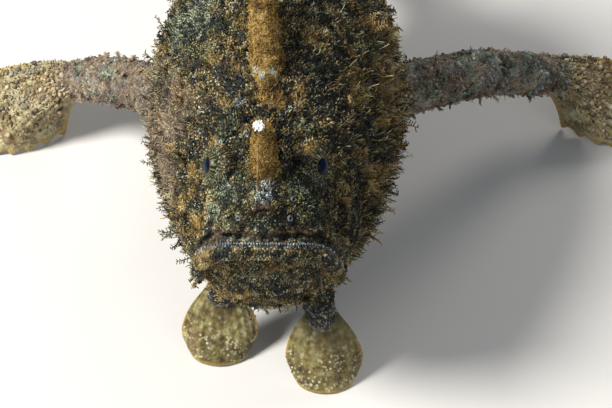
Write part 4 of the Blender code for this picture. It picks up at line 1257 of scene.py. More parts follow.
def markings():
    """The node group that gives skin and coat the same markings, from places and tints."""
    group = bpy.data.node_groups.new("markings", "ShaderNodeTree")
    group.interface.new_socket("Growth", in_out="INPUT", socket_type="NodeSocketVector")
    group.interface.new_socket("Color", in_out="OUTPUT", socket_type="NodeSocketColor")
    s = Shader(group)
    place = s.vector("place")
    chance, hue, _ = s.split(group.nodes.new("NodeGroupInput").outputs["Growth"])
    warm, green, dark = s.split(s.vector("tint_a"))
    pale, pink, teal = s.split(s.vector("tint_b"))
    stripes, by_eye, red = s.split(s.vector("eyeway"))
    # one tone picks the colour in every ramp, calmer where the skin is warm or pink
    tone = s.plus(s.times(s.noise(place, 150.0, 3.0), 0.55), s.times(s.noise(place, 520.0, 2.0), 0.80))
    tone = s.plus(s.minus(tone, 0.182), s.times(s.minus(chance, 0.5), 0.22))
    plush = s.most(s.times(warm, 0.38), s.times(pink, 0.45))
    tone = s.add("Mix", {0: plush, 2: tone, 3: 0.50}).outputs[0]
    ashen = s.between(s.noise(place, 260.0), 0.56, 0.66)
    base = s.mix(s.times(ashen, 0.30), s.ramp(tone, BASE), ASH)
    layers = ((pink, PINK), (teal, TEAL), (warm, WARM), (green, GREEN), (dark, DARK), (pale, PALE))
    for amount, stops in layers:
        base = s.mix(s.times(amount, 0.9), base, s.ramp(tone, stops))
    # single growths turn to a hue of their own, less where a tint holds
    held = s.most(s.most(warm, s.most(pale, s.times(pink, 0.7))), s.times(s.plus(green, teal), 0.9))
    free = s.minus(1.0, s.times(s.math("MINIMUM", held, 1.0), 0.75))
    turned = s.times(s.between(chance, 0.50, 0.90), 0.70)
    base = s.mix(s.times(turned, free), base, s.ramp(hue, HUES))
    striped = s.ramp(stripes, ((0.30, (0.020, 0.024, 0.016)), (0.78, (0.36, 0.37, 0.20))))
    base = s.mix(s.times(by_eye, 0.78), base, striped)
    base = s.mix(s.times(red, 0.9), base, s.ramp(tone, RED))
    out = group.nodes.new("NodeGroupOutput")
    group.links.new(base, out.inputs["Color"])
    return group


def material(name):
    made = bpy.data.materials.new(name)
    made.use_nodes = True
    made.node_tree.nodes.clear()
    shader = Shader(made.node_tree)
    surface = shader.add("BsdfPrincipled")
    output = shader.add("OutputMaterial")
    made.node_tree.links.new(surface.outputs[0], output.inputs["Surface"])
    return made, shader, surface


def set_inputs(shader, surface, **values):
    for name, value in values.items():
        socket = surface.inputs[name.replace("_", " ")]
        if isinstance(value, bpy.types.NodeSocket):
            shader.tree.links.new(value, socket)
        else:
            socket.default_value = value


def bump(shader, height, distance, strength=0.6):
    return shader.add("Bump", {"Height": height, "Distance": distance, "Strength": strength}).outputs[0]


def marked(s, group, growth):
    """The colour of the markings for a growth's chance, hue and tip."""
    marks = s.add("Group", node_tree=group)
    s.tree.links.new(growth, marks.inputs["Growth"])
    return marks.outputs["Color"]


def softness(s):
    """How low the contrast of the growth is: in golden areas, and less in pink ones."""
    warm, _, _ = s.split(s.vector("tint_a"))
    _, pink, _ = s.split(s.vector("tint_b"))
    return s.most(warm, s.times(pink, 0.85))


def skin_material(group):
    made, s, surface = material("skin")
    place = s.vector("place")
    cells = s.cells(place, 2100.0)
    # painted shade in the grooves between the skin's grains
    grains = s.ramp(cells["Distance"], GRAIN_GROOVE_SHADE)
    smooth_skin = s.ramp(s.noise(place, 1500.0, 3.0, 0.6), SMOOTH_TONES)
    under = s.mix(s.times(s.value("bare"), 0.55), grains, smooth_skin)
    under = s.mix(s.times(softness(s), 0.75), under, (0.62, 0.60, 0.56))
    colour = s.mix(1.0, marked(s, group, cells["Color"]), under, "MULTIPLY")
    wet = s.ramp(s.noise(place, 700.0), ((0.3, grey(0.42)), (0.7, grey(0.72))))
    relief = s.minus(s.noise(place, 2600.0, 3.0, 0.65), s.times(cells["Distance"], 0.8))
    set_inputs(s, surface, Base_Color=colour, Roughness=wet, Normal=bump(s, relief, 0.00025, 0.8))
    set_inputs(s, surface, Specular_IOR_Level=0.22, Subsurface_Weight=0.06)
    set_inputs(s, surface, Subsurface_Radius=(1.0, 0.5, 0.25), Subsurface_Scale=0.0006)
    return made


def coat_material(group):
    made, s, surface = material("coat")
    growth = s.vector("growth")
    chance, _, tip = s.split(growth)
    soft = s.times(softness(s), 0.6)
    # painted shade, dark at each growth's root and bright at its tip
    shade = s.ramp(tip, ROOT_TO_TIP_SHADE)
    shade = s.mix(soft, shade, (0.92, 0.90, 0.86))
    colour = s.mix(1.0, marked(s, group, growth), shade, "MULTIPLY")
    bright = s.ramp(chance, CHANCE_TONES)
    bright = s.mix(soft, bright, (0.90, 0.89, 0.87))
    colour = s.mix(1.0, colour, bright, "MULTIPLY")
    set_inputs(s, surface, Base_Color=colour, Roughness=0.55, Specular_IOR_Level=0.18)
    return made


def fin_material(name, tones, granular=0.0):
    """Thin skin of a fin: rays, blotches, pale spots and an ochre rim. granular adds close pale grains."""
    made, s, surface = material(name)
    place = s.vector("place")
    tone = s.plus(s.times(s.noise(place, 190.0, 3.0), 0.6), s.times(s.noise(place, 700.0, 3.0), 0.4))
    patches = s.between(s.noise(place, 150.0), 0.58, 0.66)
    base = s.mix(s.times(patches, 0.7), s.ramp(tone, tones), (0.11, 0.045, 0.018))
    dots = s.minus(1.0, s.between(s.cells(place, 620.0)["Distance"], 0.10, 0.48))
    gather = s.between(s.noise(place, 230.0), 0.42, 0.58)
    base = s.mix(s.times(s.times(dots, gather), 0.65), base, (0.40, 0.38, 0.23))
    base = s.mix(s.times(s.value("ray"), 0.22), base, (0.22, 0.18, 0.085))
    fine = s.minus(1.0, s.between(s.cells(place, 1250.0)["Distance"], 0.12, 0.52))
    spread = s.times(s.between(s.value("out"), 0.25, 0.75), s.between(s.noise(place, 330.0), 0.40, 0.56))
    base = s.mix(s.times(s.times(fine, spread), granular), base, (0.58, 0.55, 0.33))
    rim = s.between(s.value("rim"), 0.93, 0.99)
    base = s.mix(s.times(rim, 0.75), base, (0.40, 0.27, 0.06))
    relief = s.plus(s.noise(place, 1500.0, 3.0), s.times(s.plus(dots, fine), 0.5))
    rough = s.ramp(s.noise(place, 800.0), ((0.3, grey(0.38)), (0.7, grey(0.62))))
    set_inputs(s, surface, Base_Color=base, Roughness=rough, Normal=bump(s, relief, 0.0002))
    set_inputs(s, surface, Subsurface_Weight=0.35, Subsurface_Radius=(1.0, 0.7, 0.3), Subsurface_Scale=0.0015)
    return made


def eye_material():
    """A dark blue pupil in a thin orange ring, spokes over the iris, and a dark edge."""
    made, s, surface = material("eye")
    polar = s.value("polar")
    spokes = s.ramp(s.value("spoke"), SPOKES)
    colour = s.mix(s.between(polar, 0.61, 0.67), s.ramp(polar, PUPIL_AND_RING), spokes)
    colour = s.mix(s.times(s.between(polar, 0.90, 1.10), 0.8), colour, (0.012, 0.012, 0.014))
    set_inputs(s, surface, Base_Color=colour, Roughness=0.22, Specular_IOR_Level=0.08)
    set_inputs(s, surface, Coat_Weight=0.10, Coat_Roughness=0.05, Coat_IOR=1.3)
    return made


def plain_material(name, stops, scale, roughness, relief=0.0002, subsurface=0.0):
    """A mottled finish, its colours picked by noise over the object's own space."""
    made, s, surface = material(name)
    place = s.add("TexCoord").outputs["Object"]
    tone = s.noise(place, scale, 3.0, 0.6)
    set_inputs(s, surface, Base_Color=s.ramp(tone, stops), Roughness=roughness)
    set_inputs(s, surface, Normal=bump(s, s.noise(place, scale * 3, 3.0), relief, 0.5))
    set_inputs(s, surface, Subsurface_Weight=subsurface, Subsurface_Scale=0.001)
    return made


# Fins


def fin_grid(bases, knees, tips, per_ray, rows, notch):
    """Places over a fin: columns across its rays, rows from root to margin."""
    rays = len(bases)
    columns = (rays - 1) * per_ray + 1
    roots, bends, ends = (smooth_path(p, columns)[:, None] for p in (bases, knees, tips))
    phase = np.abs((np.arange(columns) / per_ray + 0.5) % 1 - 0.5)
    reach = 1 - notch * np.sin(math.pi * phase) ** 2
    t = reach[:, None] * np.linspace(0, 1, rows + 1)[None]
    t = t[:, :, None]
    return roots * (1 - t) ** 2 + bends * 2 * t * (1 - t) + ends * t**2, phase


def quads(a, b, c, d):
    """Two triangles for each four corners."""
    return np.concatenate([np.stack(corners, -1).reshape(-1, 3) for corners in ((a, b, c), (a, c, d))])


TIP_THICKNESS = 0.45


def fin(node, finish, rays, ripple, ray=1.2, web=0.3, notch=0.07, per_ray=8, rows=40, floor=None):
    """A fin of rounded rays in a thin rippled web, closed all round.

    rays holds the bases, knees and tips of the rays; ray and web are how thick each is, in body units.
    """
    grid, phase = fin_grid(*rays, per_ray, rows, notch)
    columns = grid.shape[0]
    normals = unit(np.cross(np.gradient(grid, axis=0), np.gradient(grid, axis=1)))
    out = np.linspace(0, 1, rows + 1)[None, :, None]
    ridge = np.clip(1 - (phase / 0.30) ** 2, 0, 1)[:, None, None] ** 0.8
    taper = 1 - (1 - TIP_THICKNESS) * out
    thick = (web * (1 - 0.35 * out) + (ray * taper - web * 0.7) * ridge) * UNIT
    margin = np.sqrt(np.clip((1 - out) / 0.03, 0.12, 1))
    thick = np.maximum(thick * margin, 0.10 * UNIT)
    wave = ripple * UNIT * np.sin(math.pi * phase * 2)[:, None, None] * np.sin(out * 3)
    flat = grid.reshape(-1, 3)
    lumps = noise(flat, 0.0016, SEED + 60, 2).reshape(columns, rows + 1, 1) * 0.06 * UNIT
    middle = grid + normals * wave
    up, down = middle + normals * (thick / 2 + lumps), middle - normals * (thick / 2 - lumps * 0.5)
    if floor is not None:
        swap = (down[..., 2] < up[..., 2])[..., None]
        low, high = np.where(swap, down, up), np.where(swap, up, down)
        low[..., 2] = np.maximum(low[..., 2], floor)
        high[..., 2] = np.maximum(high[..., 2], low[..., 2] + thick[..., 0] / 2)
        up, down = np.where(swap, high, low), np.where(swap, low, high)
    index = np.arange(columns * (rows + 1)).reshape(columns, rows + 1)
    top = quads(index[:-1, :-1], index[1:, :-1], index[1:, 1:], index[:-1, 1:])
    under = index.size
    border = np.concatenate([index[:, 0], index[-1, 1:], index[-2::-1, -1], index[0, -2:0:-1]])
    after = np.roll(border, -1)
    sides = quads(after, border, under + border, under + after)
    triangles = np.concatenate([top, (under + top)[:, ::-1], sides])
    mesh = mesh_of(node + "_rays", np.concatenate([up.reshape(-1, 3), down.reshape(-1, 3)]), triangles)
    if volume_of(mesh) < 0:
        mesh.flip_normals()
    edge = np.minimum(np.arange(columns), np.arange(columns)[::-1]) / columns
    rim = np.maximum(out, (1 - edge * 1.6)[:, None, None] * smoothstep(0.15, 0.45, out))
    set_vectors(mesh, "place", np.tile(flat, (2, 1)))
    for name, values in (("ray", ridge), ("out", out), ("rim", rim)):
        set_floats(mesh, name, np.tile(np.broadcast_to(values, thick.shape).reshape(-1), 2))
    return dressed(link_mesh(node + "_rays", mesh), "fin", finish, node)


def shares(count):
    return [k / (count - 1) for k in range(count)]


def tail_fin(finish):
    rays = []
    for u in shares(9):
        lift = 2 * u - 1
        spread = math.radians(34) * lift
        length = 26.0 - 5.0 * lift**2
        z = 6.4 * lift
        knee = fish(0, 101 + 0.45 * length * math.cos(spread * 0.6), z + 0.45 * length * math.sin(spread))
        tip = fish(0, 101 + length * math.cos(spread), z + length * math.sin(spread))
        rays.append((fish(0, 97.5, z * 0.9), knee, tip))
    return fin("tail_fin", finish, zip(*rays), 0.25)


def dorsal_fin(finish):
    rays = []
    for u in shares(12):
        s = 43.5 + 46.5 * u
        top = float(outline(s)[0, 0])
        length = 10.5 + 7.5 * math.sin(math.pi * min(1.0, u * 1.15 + 0.1))
        lean = math.radians(62 - 34 * u)
        wave = 0.7 * math.sin(5 * u)
        knee = fish(wave * 0.4, s + 0.35 * length * math.cos(lean), top + 0.55 * length * math.sin(lean))
        tip = fish(wave, s + length * math.cos(lean), top + length * math.sin(lean))
        rays.append((fish(0, s - 1.2, top - 2.4), knee, tip))
    return fin("dorsal_fin", finish, zip(*rays), 0.3, notch=0.10, rows=28)


def anal_fin(finish):
    rays = []
    for u in shares(7):
        s = 70.0 + 20.0 * u
        bottom = float(outline(s)[0, 1])
        length = 10.0 + 4.5 * math.sin(math.pi * min(1.0, u * 0.9 + 0.2))
        lean = math.radians(20 - 4 * u)
        knee = fish(0, s + 0.4 * length * math.cos(lean), bottom - 0.5 * length * math.sin(lean))
        tip = fish(0.8, s + length * math.cos(lean), bottom - length * math.sin(lean))
        rays.append((fish(0, s - 1.5, bottom + 2.2), knee, tip))
    return fin("anal_fin", finish, zip(*rays), 0.25, notch=0.09, rows=26)


def hand(side, finish):
    x, y, h = ARM[side][-1]
    ends = smooth_path(HAND_TIPS, 10)
    rays = []
    for u, (out, back, lift) in zip(shares(10), ends):
        base = floor_place(x - side * 2.0, y + 7.2 * (u - 0.5), h + 0.9)
        knee = floor_place(x + side * 0.6 * out, y + 0.5 + 0.6 * back, 0.8 * h + 0.5 * lift)
        rays.append((base, knee, floor_place(x + side * out, y + back, lift)))
    node = "pectoral_fin_" + SIDE_NAME[side]
    return fin(node, finish, zip(*rays), 0.2, ray=1.3, web=0.55, notch=0.05, per_ray=10, floor=0.0)


def foot(side, finish):
    x, y, h = LEG[side][-1]
    rays = []
    for u in shares(6):
        turn = math.radians(-72 + 144 * u)
        wide = 6.3 * math.sin(turn) / math.sin(math.radians(72))
        reach = (y - FOOT_TIP[side]) * (0.26 + 0.74 * math.cos(turn))
        lift = 0.25 + 5.5 * max(0.0, 0.72 - math.cos(turn))
        base = floor_place(x + 5.0 * (u - 0.5), y + 0.9, h + 1.2)
        knee = floor_place(x + side * 0.4 + wide * 1.30, y - 0.6 * reach, 0.55 * h)
        rays.append((base, knee, floor_place(x + side * 0.6 + wide, y - reach, lift)))
    node = "pelvic_fin_" + SIDE_NAME[side]
    return fin(node, finish, zip(*rays), 0.12, ray=0.72, web=0.55, notch=0.0, per_ray=14, floor=0.0)


# Eyes, lips, nostrils and lure


GAZE = {1: (0.80, -0.50, 0.38), -1: (-0.92, -0.28, 0.29)}


def eye(side, finish):
    """An eyeball with a domed cornea over a striped iris and a dark pupil."""
    look, across, up = axes_round(body_direction(*GAZE[side]))
    rows, sides = 72, 96
    polar = np.linspace(0.004, math.pi - 0.004, rows)
    turn = full_turn(sides)
    bulge = 1 + 0.05 * bell(polar, 0.66)
    radius = (EYE_RADIUS * 0.975 * UNIT * bulge)[:, None, None]
    around = (np.cos(turn)[:, None] * across + np.sin(turn)[:, None] * up)[None]
    directions = np.cos(polar)[:, None, None] * look + np.sin(polar)[:, None, None] * around
    points, faces = loft(fish(*eye_place(side)) + directions * radius)
    name = "eyeball_" + SIDE_NAME[side]
    mesh = bpy.data.meshes.new(name)
    mesh.from_pydata(points.tolist(), [], faces)
    if volume_of(mesh) < 0:
        mesh.flip_normals()
    mesh.shade_smooth()
    set_floats(mesh, "polar", np.repeat(polar, sides))
    waves = 0.5 + 0.5 * np.sin(turn * 17 + 1.1 * np.sin(turn * 4))
    grain = noise(points / UNIT, 0.35, SEED + 70, 2) * 0.35
    set_floats(mesh, "spoke", np.clip(np.tile(waves, rows) + grain, 0, 1))
    dressed(link_mesh(name, mesh), "eye", finish, "eye_" + SIDE_NAME[side])


def on_skin(points, skin):
    """The nearest places of the skin, and its outward directions there."""
    found = [skin.closest_point_on_mesh(point) for point in np.atleast_2d(points)]
    return np.array([list(hit[1]) for hit in found]), np.array([list(hit[2]) for hit in found])


def lip_beads(finish, skin):
    """The comb of pale upright beads along the edge of the lower lip."""
    rng = np.random.default_rng(SEED + 80)
    t = np.arcsin(np.linspace(-0.90, 0.90, 48)) / (math.pi / 2)
    row = mouth_line(t, 0.22, 1.45)
    places, normals = on_skin(row, skin)

    def smoothed(values):
        padded = np.pad(values, ((4, 4), (0, 0)), mode="edge")
        return np.stack([np.convolve(padded[:, k], np.full(9, 1 / 9), mode="valid") for k in range(3)], 1)

    places = row + smoothed(places - row)
    normals = unit(smoothed(normals))
    forms = []
    for place, normal in zip(places, normals):
        stand = unit(normal + (0, 0, 0.7))
        base = place + rng.normal(0, 0.03, 3) * UNIT
        radii = np.array((0.14, 0.18, 0.13)) * rng.uniform(0.85, 1.15) * UNIT
        path = [base - normal * 0.25 * UNIT, base + stand * 0.14 * UNIT, base + stand * 0.46 * UNIT]
        forms.append(tube(path, radii, count=6, sides=8))
    dressed(mesh_object("lip_beads", forms), "skin", finish)


NOSTRILS = ((4.4, 3.9, 10.6), (-4.4, 3.9, 10.6), (4.7, 6.3, 12.7), (-4.7, 6.3, 12.7))
# A nostril's radius and height, from its foot over the rim and down inside
NOSTRIL_PROFILE = (
    (0.62, -0.9), (0.50, 0.0), (0.43, 0.18), (0.35, 0.27), (0.26, 0.22), (0.22, 0.05), (0.19, -0.35),
)


def nostrils(finish, skin):
    """Four short tubes with rolled rims on the snout."""
    forms = []
    angles = full_turn(20)[:, None]
    for x, s, z in NOSTRILS:
        out, across, up = axes_round(body_direction(x * 0.12, -0.75, 0.62))
        (centre,), _ = on_skin(fish(x, s, z), skin)
        around = across * np.cos(angles) + up * np.sin(angles)
        uneven = 1 + 0.10 * np.sin(angles * 2 + x) + 0.06 * np.sin(angles * 5 + s)
        rings = [centre + (out * rise + around * radius * uneven) * UNIT for radius, rise in NOSTRIL_PROFILE]
        forms.append(loft(rings))
    dressed(mesh_object("nostrils", forms), "skin", finish)


LURE_PATH = ((-0.9, 7.2, 13.0), (-0.9, 6.1, 18.0), (-0.7, 5.7, 23.0), (-0.35, 5.8, 26.9))


def lure(rod_finish, bait_finish, finish):
    """The rod on the snout and the white tufted bait at its end."""
    path = np.array([fish(*p) for p in LURE_PATH])
    form = tube(path, np.array((0.30, 0.17, 0.12, 0.12)) * UNIT, count=60, sides=12)
    rod = dressed(mesh_object("lure_rod_skin", [form]), "spine", rod_finish, "lure_rod")
    plant("lure_fuzz", Ground(rod.data), NUB, 9.0, 0.00042, 0.00015, (20, 60), 140, "spine", finish)
    rng = np.random.default_rng(SEED + 90)
    tip = fish(LURE_PATH[-1][0] - 0.1, LURE_PATH[-1][1] + 0.2, LURE_PATH[-1][2] + 0.8)
    forms = [ellipsoid(tip, np.array((0.62, 0.62, 0.56)) * UNIT, 12, 18)]
    for _ in range(46):
        way = unit(rng.normal(0, 1, 3) + (0, 0, 0.25))
        start, end = tip + way * 0.35 * UNIT, tip + way * rng.uniform(0.72, 0.98) * UNIT
        middle = (start + end) / 2 + rng.normal(0, 0.07, 3) * UNIT
        radii = np.array((0.16, 0.15, 0.09)) * UNIT * rng.uniform(0.8, 1.3)
        forms.append(tube([start, middle, end], radii, count=5, sides=7, ends=2))
    dressed(mesh_object("lure_bait", forms), "bait", bait_finish, "lure_tip")


# Stage


# Lights: name, place, size, power and colour
LIGHTS = (
    ("key", (-0.52, -0.17, 0.60), 0.25, 11.5, (1.0, 0.97, 0.92)),
    ("fill", (0.45, -0.60, 0.50), 0.6, 0.9, (0.86, 0.92, 1.0)),
    ("back", (0.36, 0.50, 0.50), 0.4, 2.2, (1.0, 0.96, 0.90)),
)
LIT_PLACE = (0.0, -0.03, 0.04)


def area_light(name, place, size, power, colour):
    data = bpy.data.lights.new(name, "AREA")
    data.shape = "DISK"
    data.size = size
    data.energy = power
    data.color = colour
    obj = bpy.data.objects.new(name, data)
    bpy.context.scene.collection.objects.link(obj)
    obj.location = place
    obj.rotation_euler = (Vector(place) - Vector(LIT_PLACE)).to_track_quat("Z", "Y").to_euler()


def stage():
    size = 3.0
    mesh = bpy.data.meshes.new("floor")
    corners = [(-size, -size, 0), (size, -size, 0), (size, size, 0), (-size, size, 0)]
    mesh.from_pydata(corners, [], [(0, 1, 2, 3)])
    floor = link_mesh("floor", mesh)
    floor.location = (0, 0, -0.00005)
    made, s, surface = material("floor")
    set_inputs(s, surface, Base_Color=(0.62, 0.61, 0.59, 1.0), Roughness=0.75)
    floor.data.materials.append(made)
    world = bpy.data.worlds.new("studio")
    world.use_nodes = True
    background = world.node_tree.nodes["Background"].inputs
    background["Color"].default_value = (0.80, 0.86, 0.95, 1.0)
    background["Strength"].default_value = 0.26
    bpy.context.scene.world = world
    for light in LIGHTS:
        area_light(*light)
    bpy.context.scene.view_settings.view_transform = "Standard"


PHOTO_WIDE, PHOTO_HIGH = 612, 408
AIM_PIXEL = (266, 166)
AZIMUTH, ELEVATION, DISTANCE, ROLL = math.radians(4.0), math.radians(48.0), 0.35, math.radians(2.6)
VIEW_WIDTH = 0.118


def camera():
    """Looks down on the face as the photograph does, with the point between the eyes at AIM_PIXEL."""
    data = bpy.data.cameras.new("camera")
    obj = bpy.data.objects.new("camera", data)
    bpy.context.scene.collection.objects.link(obj)
    data.sensor_width = 36.0
    data.lens = 36.0 * DISTANCE / VIEW_WIDTH
    data.clip_start = 0.01
    back = Vector((
        math.sin(AZIMUTH) * math.cos(ELEVATION), -math.cos(AZIMUTH) * math.cos(ELEVATION), math.sin(ELEVATION)
    ))
    aim = Vector((fish(*eye_place(1)) + fish(*eye_place(-1))) / 2)
    turned = back.to_track_quat("Z", "Y").to_matrix().to_4x4() @ Matrix.Rotation(-ROLL, 4, "Z")
    obj.matrix_world = Matrix.Translation(aim + back * DISTANCE) @ turned
    data.shift_x = (PHOTO_WIDE / 2 - AIM_PIXEL[0]) / PHOTO_WIDE
    data.shift_y = -(PHOTO_HIGH / 2 - AIM_PIXEL[1]) / PHOTO_WIDE
    bpy.context.scene.camera = obj


# Build

FLESH = (
    "head", "lower_jaw", "torso", "tail_stalk", "pectoral_arm_left", "pectoral_arm_right",
    "pelvic_leg_left", "pelvic_leg_right", "second_dorsal_spine", "third_dorsal_spine",
)
# Where skin shows between the growths: how bare, reach and place
BARE = (
    (0.95, 2.1, (-8.6, 2.4, 4.8)), (0.95, 2.1, (9.4, 3.2, 4.2)), (0.85, 1.7, (-10.6, 7.0, -0.8)),
    (0.85, 1.7, (10.6, 7.0, -0.8)), (0.7, 1.4, (-7.0, 3.8, 6.4)), (0.7, 1.4, (7.0, 3.8, 6.4)),
    (0.5, 1.2, (1.2, 1.6, 2.0)),
)


def bareness(points):
    """How little grows on the skin at world points, 0 to 1."""
    place = body_place(points)
    ragged = noise(points, 0.0012, SEED + 25, 2) * 0.3
    bare = np.zeros(len(points))
    for amount, reach, where in BARE:
        distance = np.linalg.norm(place - where, axis=1)
        patch = amount * smoothstep(0, 0.4, 1 - distance / reach + ragged)
        bare = np.maximum(bare, patch * (distance < 1.5 * reach))
    return np.maximum(bare, 0.95 * smoothstep(0.2, 0.7, red_lines(points)))


def dress_skin(obj, finish):
    """Gives the skin its finish and what the finish reads."""
    points, _, _ = arrays_of(obj.data)
    region, _ = regions_of(points)
    values = marking_values(points, region)
    slit = near_mouth(points, SLIT)
    dark = values["tint_a"][:, TINT["dark"]]
    # painted shade: the dark tint is raised along the mouth's slit, in its crease
    dark[:] = np.maximum(dark, bell(slit, 0.42))
    for name, vectors in values.items():
        set_vectors(obj.data, name, vectors)
    lips = 0.6 * np.exp(-((slit / 1.3) ** 4))
    set_floats(obj.data, "bare", np.maximum(bareness(points), lips))
    dressed(obj, "skin", finish, *FLESH)


def coat_areas(ground):
    """The coat's named areas, from 0 to 1 over the skin's triangles, and its length and width there."""
    place, region = ground.place, ground.region
    x, s, z = place.T
    a = SimpleNamespace()
    a.spine, a.arm, a.leg = on_spines(region), on_form(region, "arm"), on_form(region, "leg")
    a.body = region == 0
    a.left = x > 0
    a.muzzle = (1 - smoothstep(5, 12, s)) * a.body
    a.face = (1 - smoothstep(9, 24, s)) * a.body
    a.near = smoothstep(0.35, 0.75, a.face)
    a.rear = smoothstep(34, 62, s) * a.body
    a.under = smoothstep(6, 12, -z) * smoothstep(12, 20, s) * a.body
    a.edge = smoothstep(9, 15, np.abs(x)) * a.body
    a.chin = smoothstep(3, 8, -z) * (1 - smoothstep(9, 14, s)) * a.body
    a.arch = (1 - smoothstep(2.2, 2.9, np.linalg.norm(place - (0, 3.2, 9.8), axis=1))) * a.body
    lifted = ground.centres[:, 2] > 0.0025
    clear = smoothstep(2.7, 3.1, ground.eye) * smoothstep(1.5, 1.9, ground.mouth) * lifted
    open_skin = 1 - bareness(ground.centres)
    a.grows = clear * open_skin * ~a.spine
    a.nap = 4.1 - 2.1 * smoothstep(36, 46, s) - 0.9 * smoothstep(58, 70, s)
    a.nap[a.arm], a.nap[a.leg] = 3.7, 3.0
    off_slit = smoothstep(0.45, 0.6, ground.mouth)
    lips = lifted * a.body * (s < 14) * off_slit * (1 - smoothstep(2.4, 3.0, ground.mouth))
    a.lips = np.maximum(lips, a.arch * off_slit) * open_skin
    a.tall = clear * ~a.spine * smoothstep(4.6, 6.5, ground.eye) * (1 - 0.9 * a.leg) * (1 - 0.6 * a.under)
    a.taller = a.tall * (1 - smoothstep(0.3, 0.8, a.muzzle) * (1 - a.chin))
    fringe = smoothstep(12, 16, np.abs(x)) * smoothstep(12, 18, s) * (1 - smoothstep(40, 52, s)) * a.body
    a.fringe = fringe * smoothstep(-12, -5, z) * (0.4 + 0.6 * a.left)
    # in metres: short on the face, round the eyes and at both sides
    a.long = 0.00092 - 0.00030 * a.face - 0.00012 * a.muzzle + 0.00018 * a.rear
    a.long = a.long * (0.50 + 0.50 * smoothstep(3.0, 5.5, ground.eye))
    a.long = a.long * (1 - 0.28 * smoothstep(6, 14, -x) - 0.14 * smoothstep(6, 14, x))
    a.long[a.arm], a.long[a.leg], a.long[a.spine] = 0.00050, 0.00045, 0.00080
    a.wide = 0.00020 + 0.00006 * a.rear + 0.00006 * a.arm
    return a


def grow_coat(ground, finish):
    """The coat, kind by kind: density a square millimetre, length and width in metres, tilt and seed."""
    a = coat_areas(ground)

    def put(name, kind, density, length, width, tilt, seed, slot="skin", splay=0.9):
        plant(name, ground, kind, density, length, width, tilt, seed, slot, finish, splay)

    outside = 1 - a.arch
    grains = a.grows * a.near * 4.0 * outside
    put("face_grain", GRAIN, grains, a.long * 0.78, a.wide * 1.55, (0, 30), 101, splay=0.5)
    put("face_nap", NUB, a.grows * a.near * 3.3 * outside, a.long * 1.15, a.wide, (5, 40), 110)
    nap = a.grows * (1 - a.near) * a.nap * (1 - 0.65 * a.under)
    put("coat_nap", NUB, nap, a.long * 0.92, a.wide, (0, 50), 102)
    tufts = a.grows * (0.46 - 0.12 * a.rear) * (1 - a.muzzle) * (1 - 0.85 * a.leg) * (1 - 0.9 * a.arm)
    tufts = tufts * (1 - 0.6 * a.under) * smoothstep(3.4, 5.0, ground.eye)
    put("coat_tufts", TUFT, tufts, a.long * 1.40, a.wide, (5, 45), 103)
    knobs = a.grows * (0.025 + 0.05 * a.face + 0.15 * a.arm) * (1 - a.under)
    length = 0.00050 + 0.00045 * (1 - a.face)
    put("coat_knobs", KNOB, knobs, length, 0.00048 + 0.00022 * a.arm, (0, 35), 104)
    put("lip_grain", GRAIN, a.lips * 6.4, 0.00026, 0.00028, (0, 25), 111, splay=0.2)
    curls = a.tall * (0.07 + 0.26 * a.edge * (1 - 0.7 * a.rear) + 0.5 * a.chin) * (1 - 0.5 * a.muzzle)
    length = 0.0019 - 0.0007 * a.face + 0.0005 * a.edge * a.left
    put("coat_curls", CURL, curls, length, 0.00023, (5, 50), 105)
    put("side_fringe", CURL, a.taller * a.fringe * 0.5, 0.0027, 0.00023, (10, 50), 112, splay=1.2)
    plumes = a.taller * (0.006 + 0.030 * a.edge + 0.03 * a.chin) * (1 - 0.7 * a.rear)
    length = 0.0034 * (1 - 0.45 * a.muzzle - 0.3 * a.arm)
    put("coat_plumes", PLUME, plumes, length, 0.00025, (15, 50), 106)
    fronds = a.taller * (0.005 + 0.012 * a.edge + 0.01 * a.chin + 0.03 * a.arm)
    length, width = 0.0021 * (1 - 0.40 * a.face), 0.0011 * (1 - 0.3 * a.face)
    put("coat_fronds", FROND, fronds, length, width, (12, 50), 107)
    put("spine_nap", CURL, a.spine * 6.2, 0.00085, 0.00015, (5, 55), 108, "spine", 0.6)
    put("spine_tufts", TUFT, a.spine * 0.7, 0.00100, 0.00018, (15, 55), 109, "spine")


def fin_ground(fin_object):
    """A fin to plant on, how far out each of its triangles is, 0 to 1, and the fin's name."""
    ground = Ground(fin_object.data)
    out = np.empty(len(fin_object.data.vertices))
    fin_object.data.attributes["out"].data.foreach_get("value", out)
    return ground, out[ground.triangles].mean(axis=1), fin_object.name.removesuffix("_rays")


def grow_on_foot(foot_object, seed, finish):
    """Pale granules over the outer half of a foot."""
    ground, out, name = fin_ground(foot_object)
    above = (ground.centres[:, 2] > 0.0012) * smoothstep(0.30, 0.65, out) * (out < 0.95)
    patchy = smoothstep(-0.25, 0.35, noise(ground.centres, 0.0024, SEED + 33, 2))
    density = above * patchy * 2.6
    plant(name + "_grains", ground, GRAIN, density, 0.00030, 0.00034, (0, 25), seed, "fin", finish)


def grow_on_fin(fin_object, thick, seed, finish, spread=0.0):
    """Growths over a fin, thickest near its root: thick is how many a square millimetre there.

    spread takes them further out over the fin, and off its underside, as on the hands.
    """
    ground, out, name = fin_ground(fin_object)
    above = (ground.centres[:, 2] > 0.0015) * (out > 0.02) * (out < 0.93)
    upward = ground.normals[ground.triangles].mean(axis=1)[:, 2]
    above = above * (1 - spread * (upward < -0.1))
    close = (1 - smoothstep(0, 0.65 + 0.35 * spread, out)) ** (2 - spread)
    size = 1 + 0.25 * spread
    nap = above * (0.30 + thick * close)
    plant(name + "_nap", ground, NUB, nap, 0.00052 * size, 0.00028 * size, (0, 45), seed, "fin", finish)
    knobs = above * (0.04 + (0.05 + 0.07 * spread) * thick * close)
    length, width = (0.00058 + 0.00012 * spread) * size, (0.00060 + 0.00022 * spread) * size
    plant(name + "_knobs", ground, KNOB, knobs, length, width, (0, 40), seed + 1, "fin", finish)


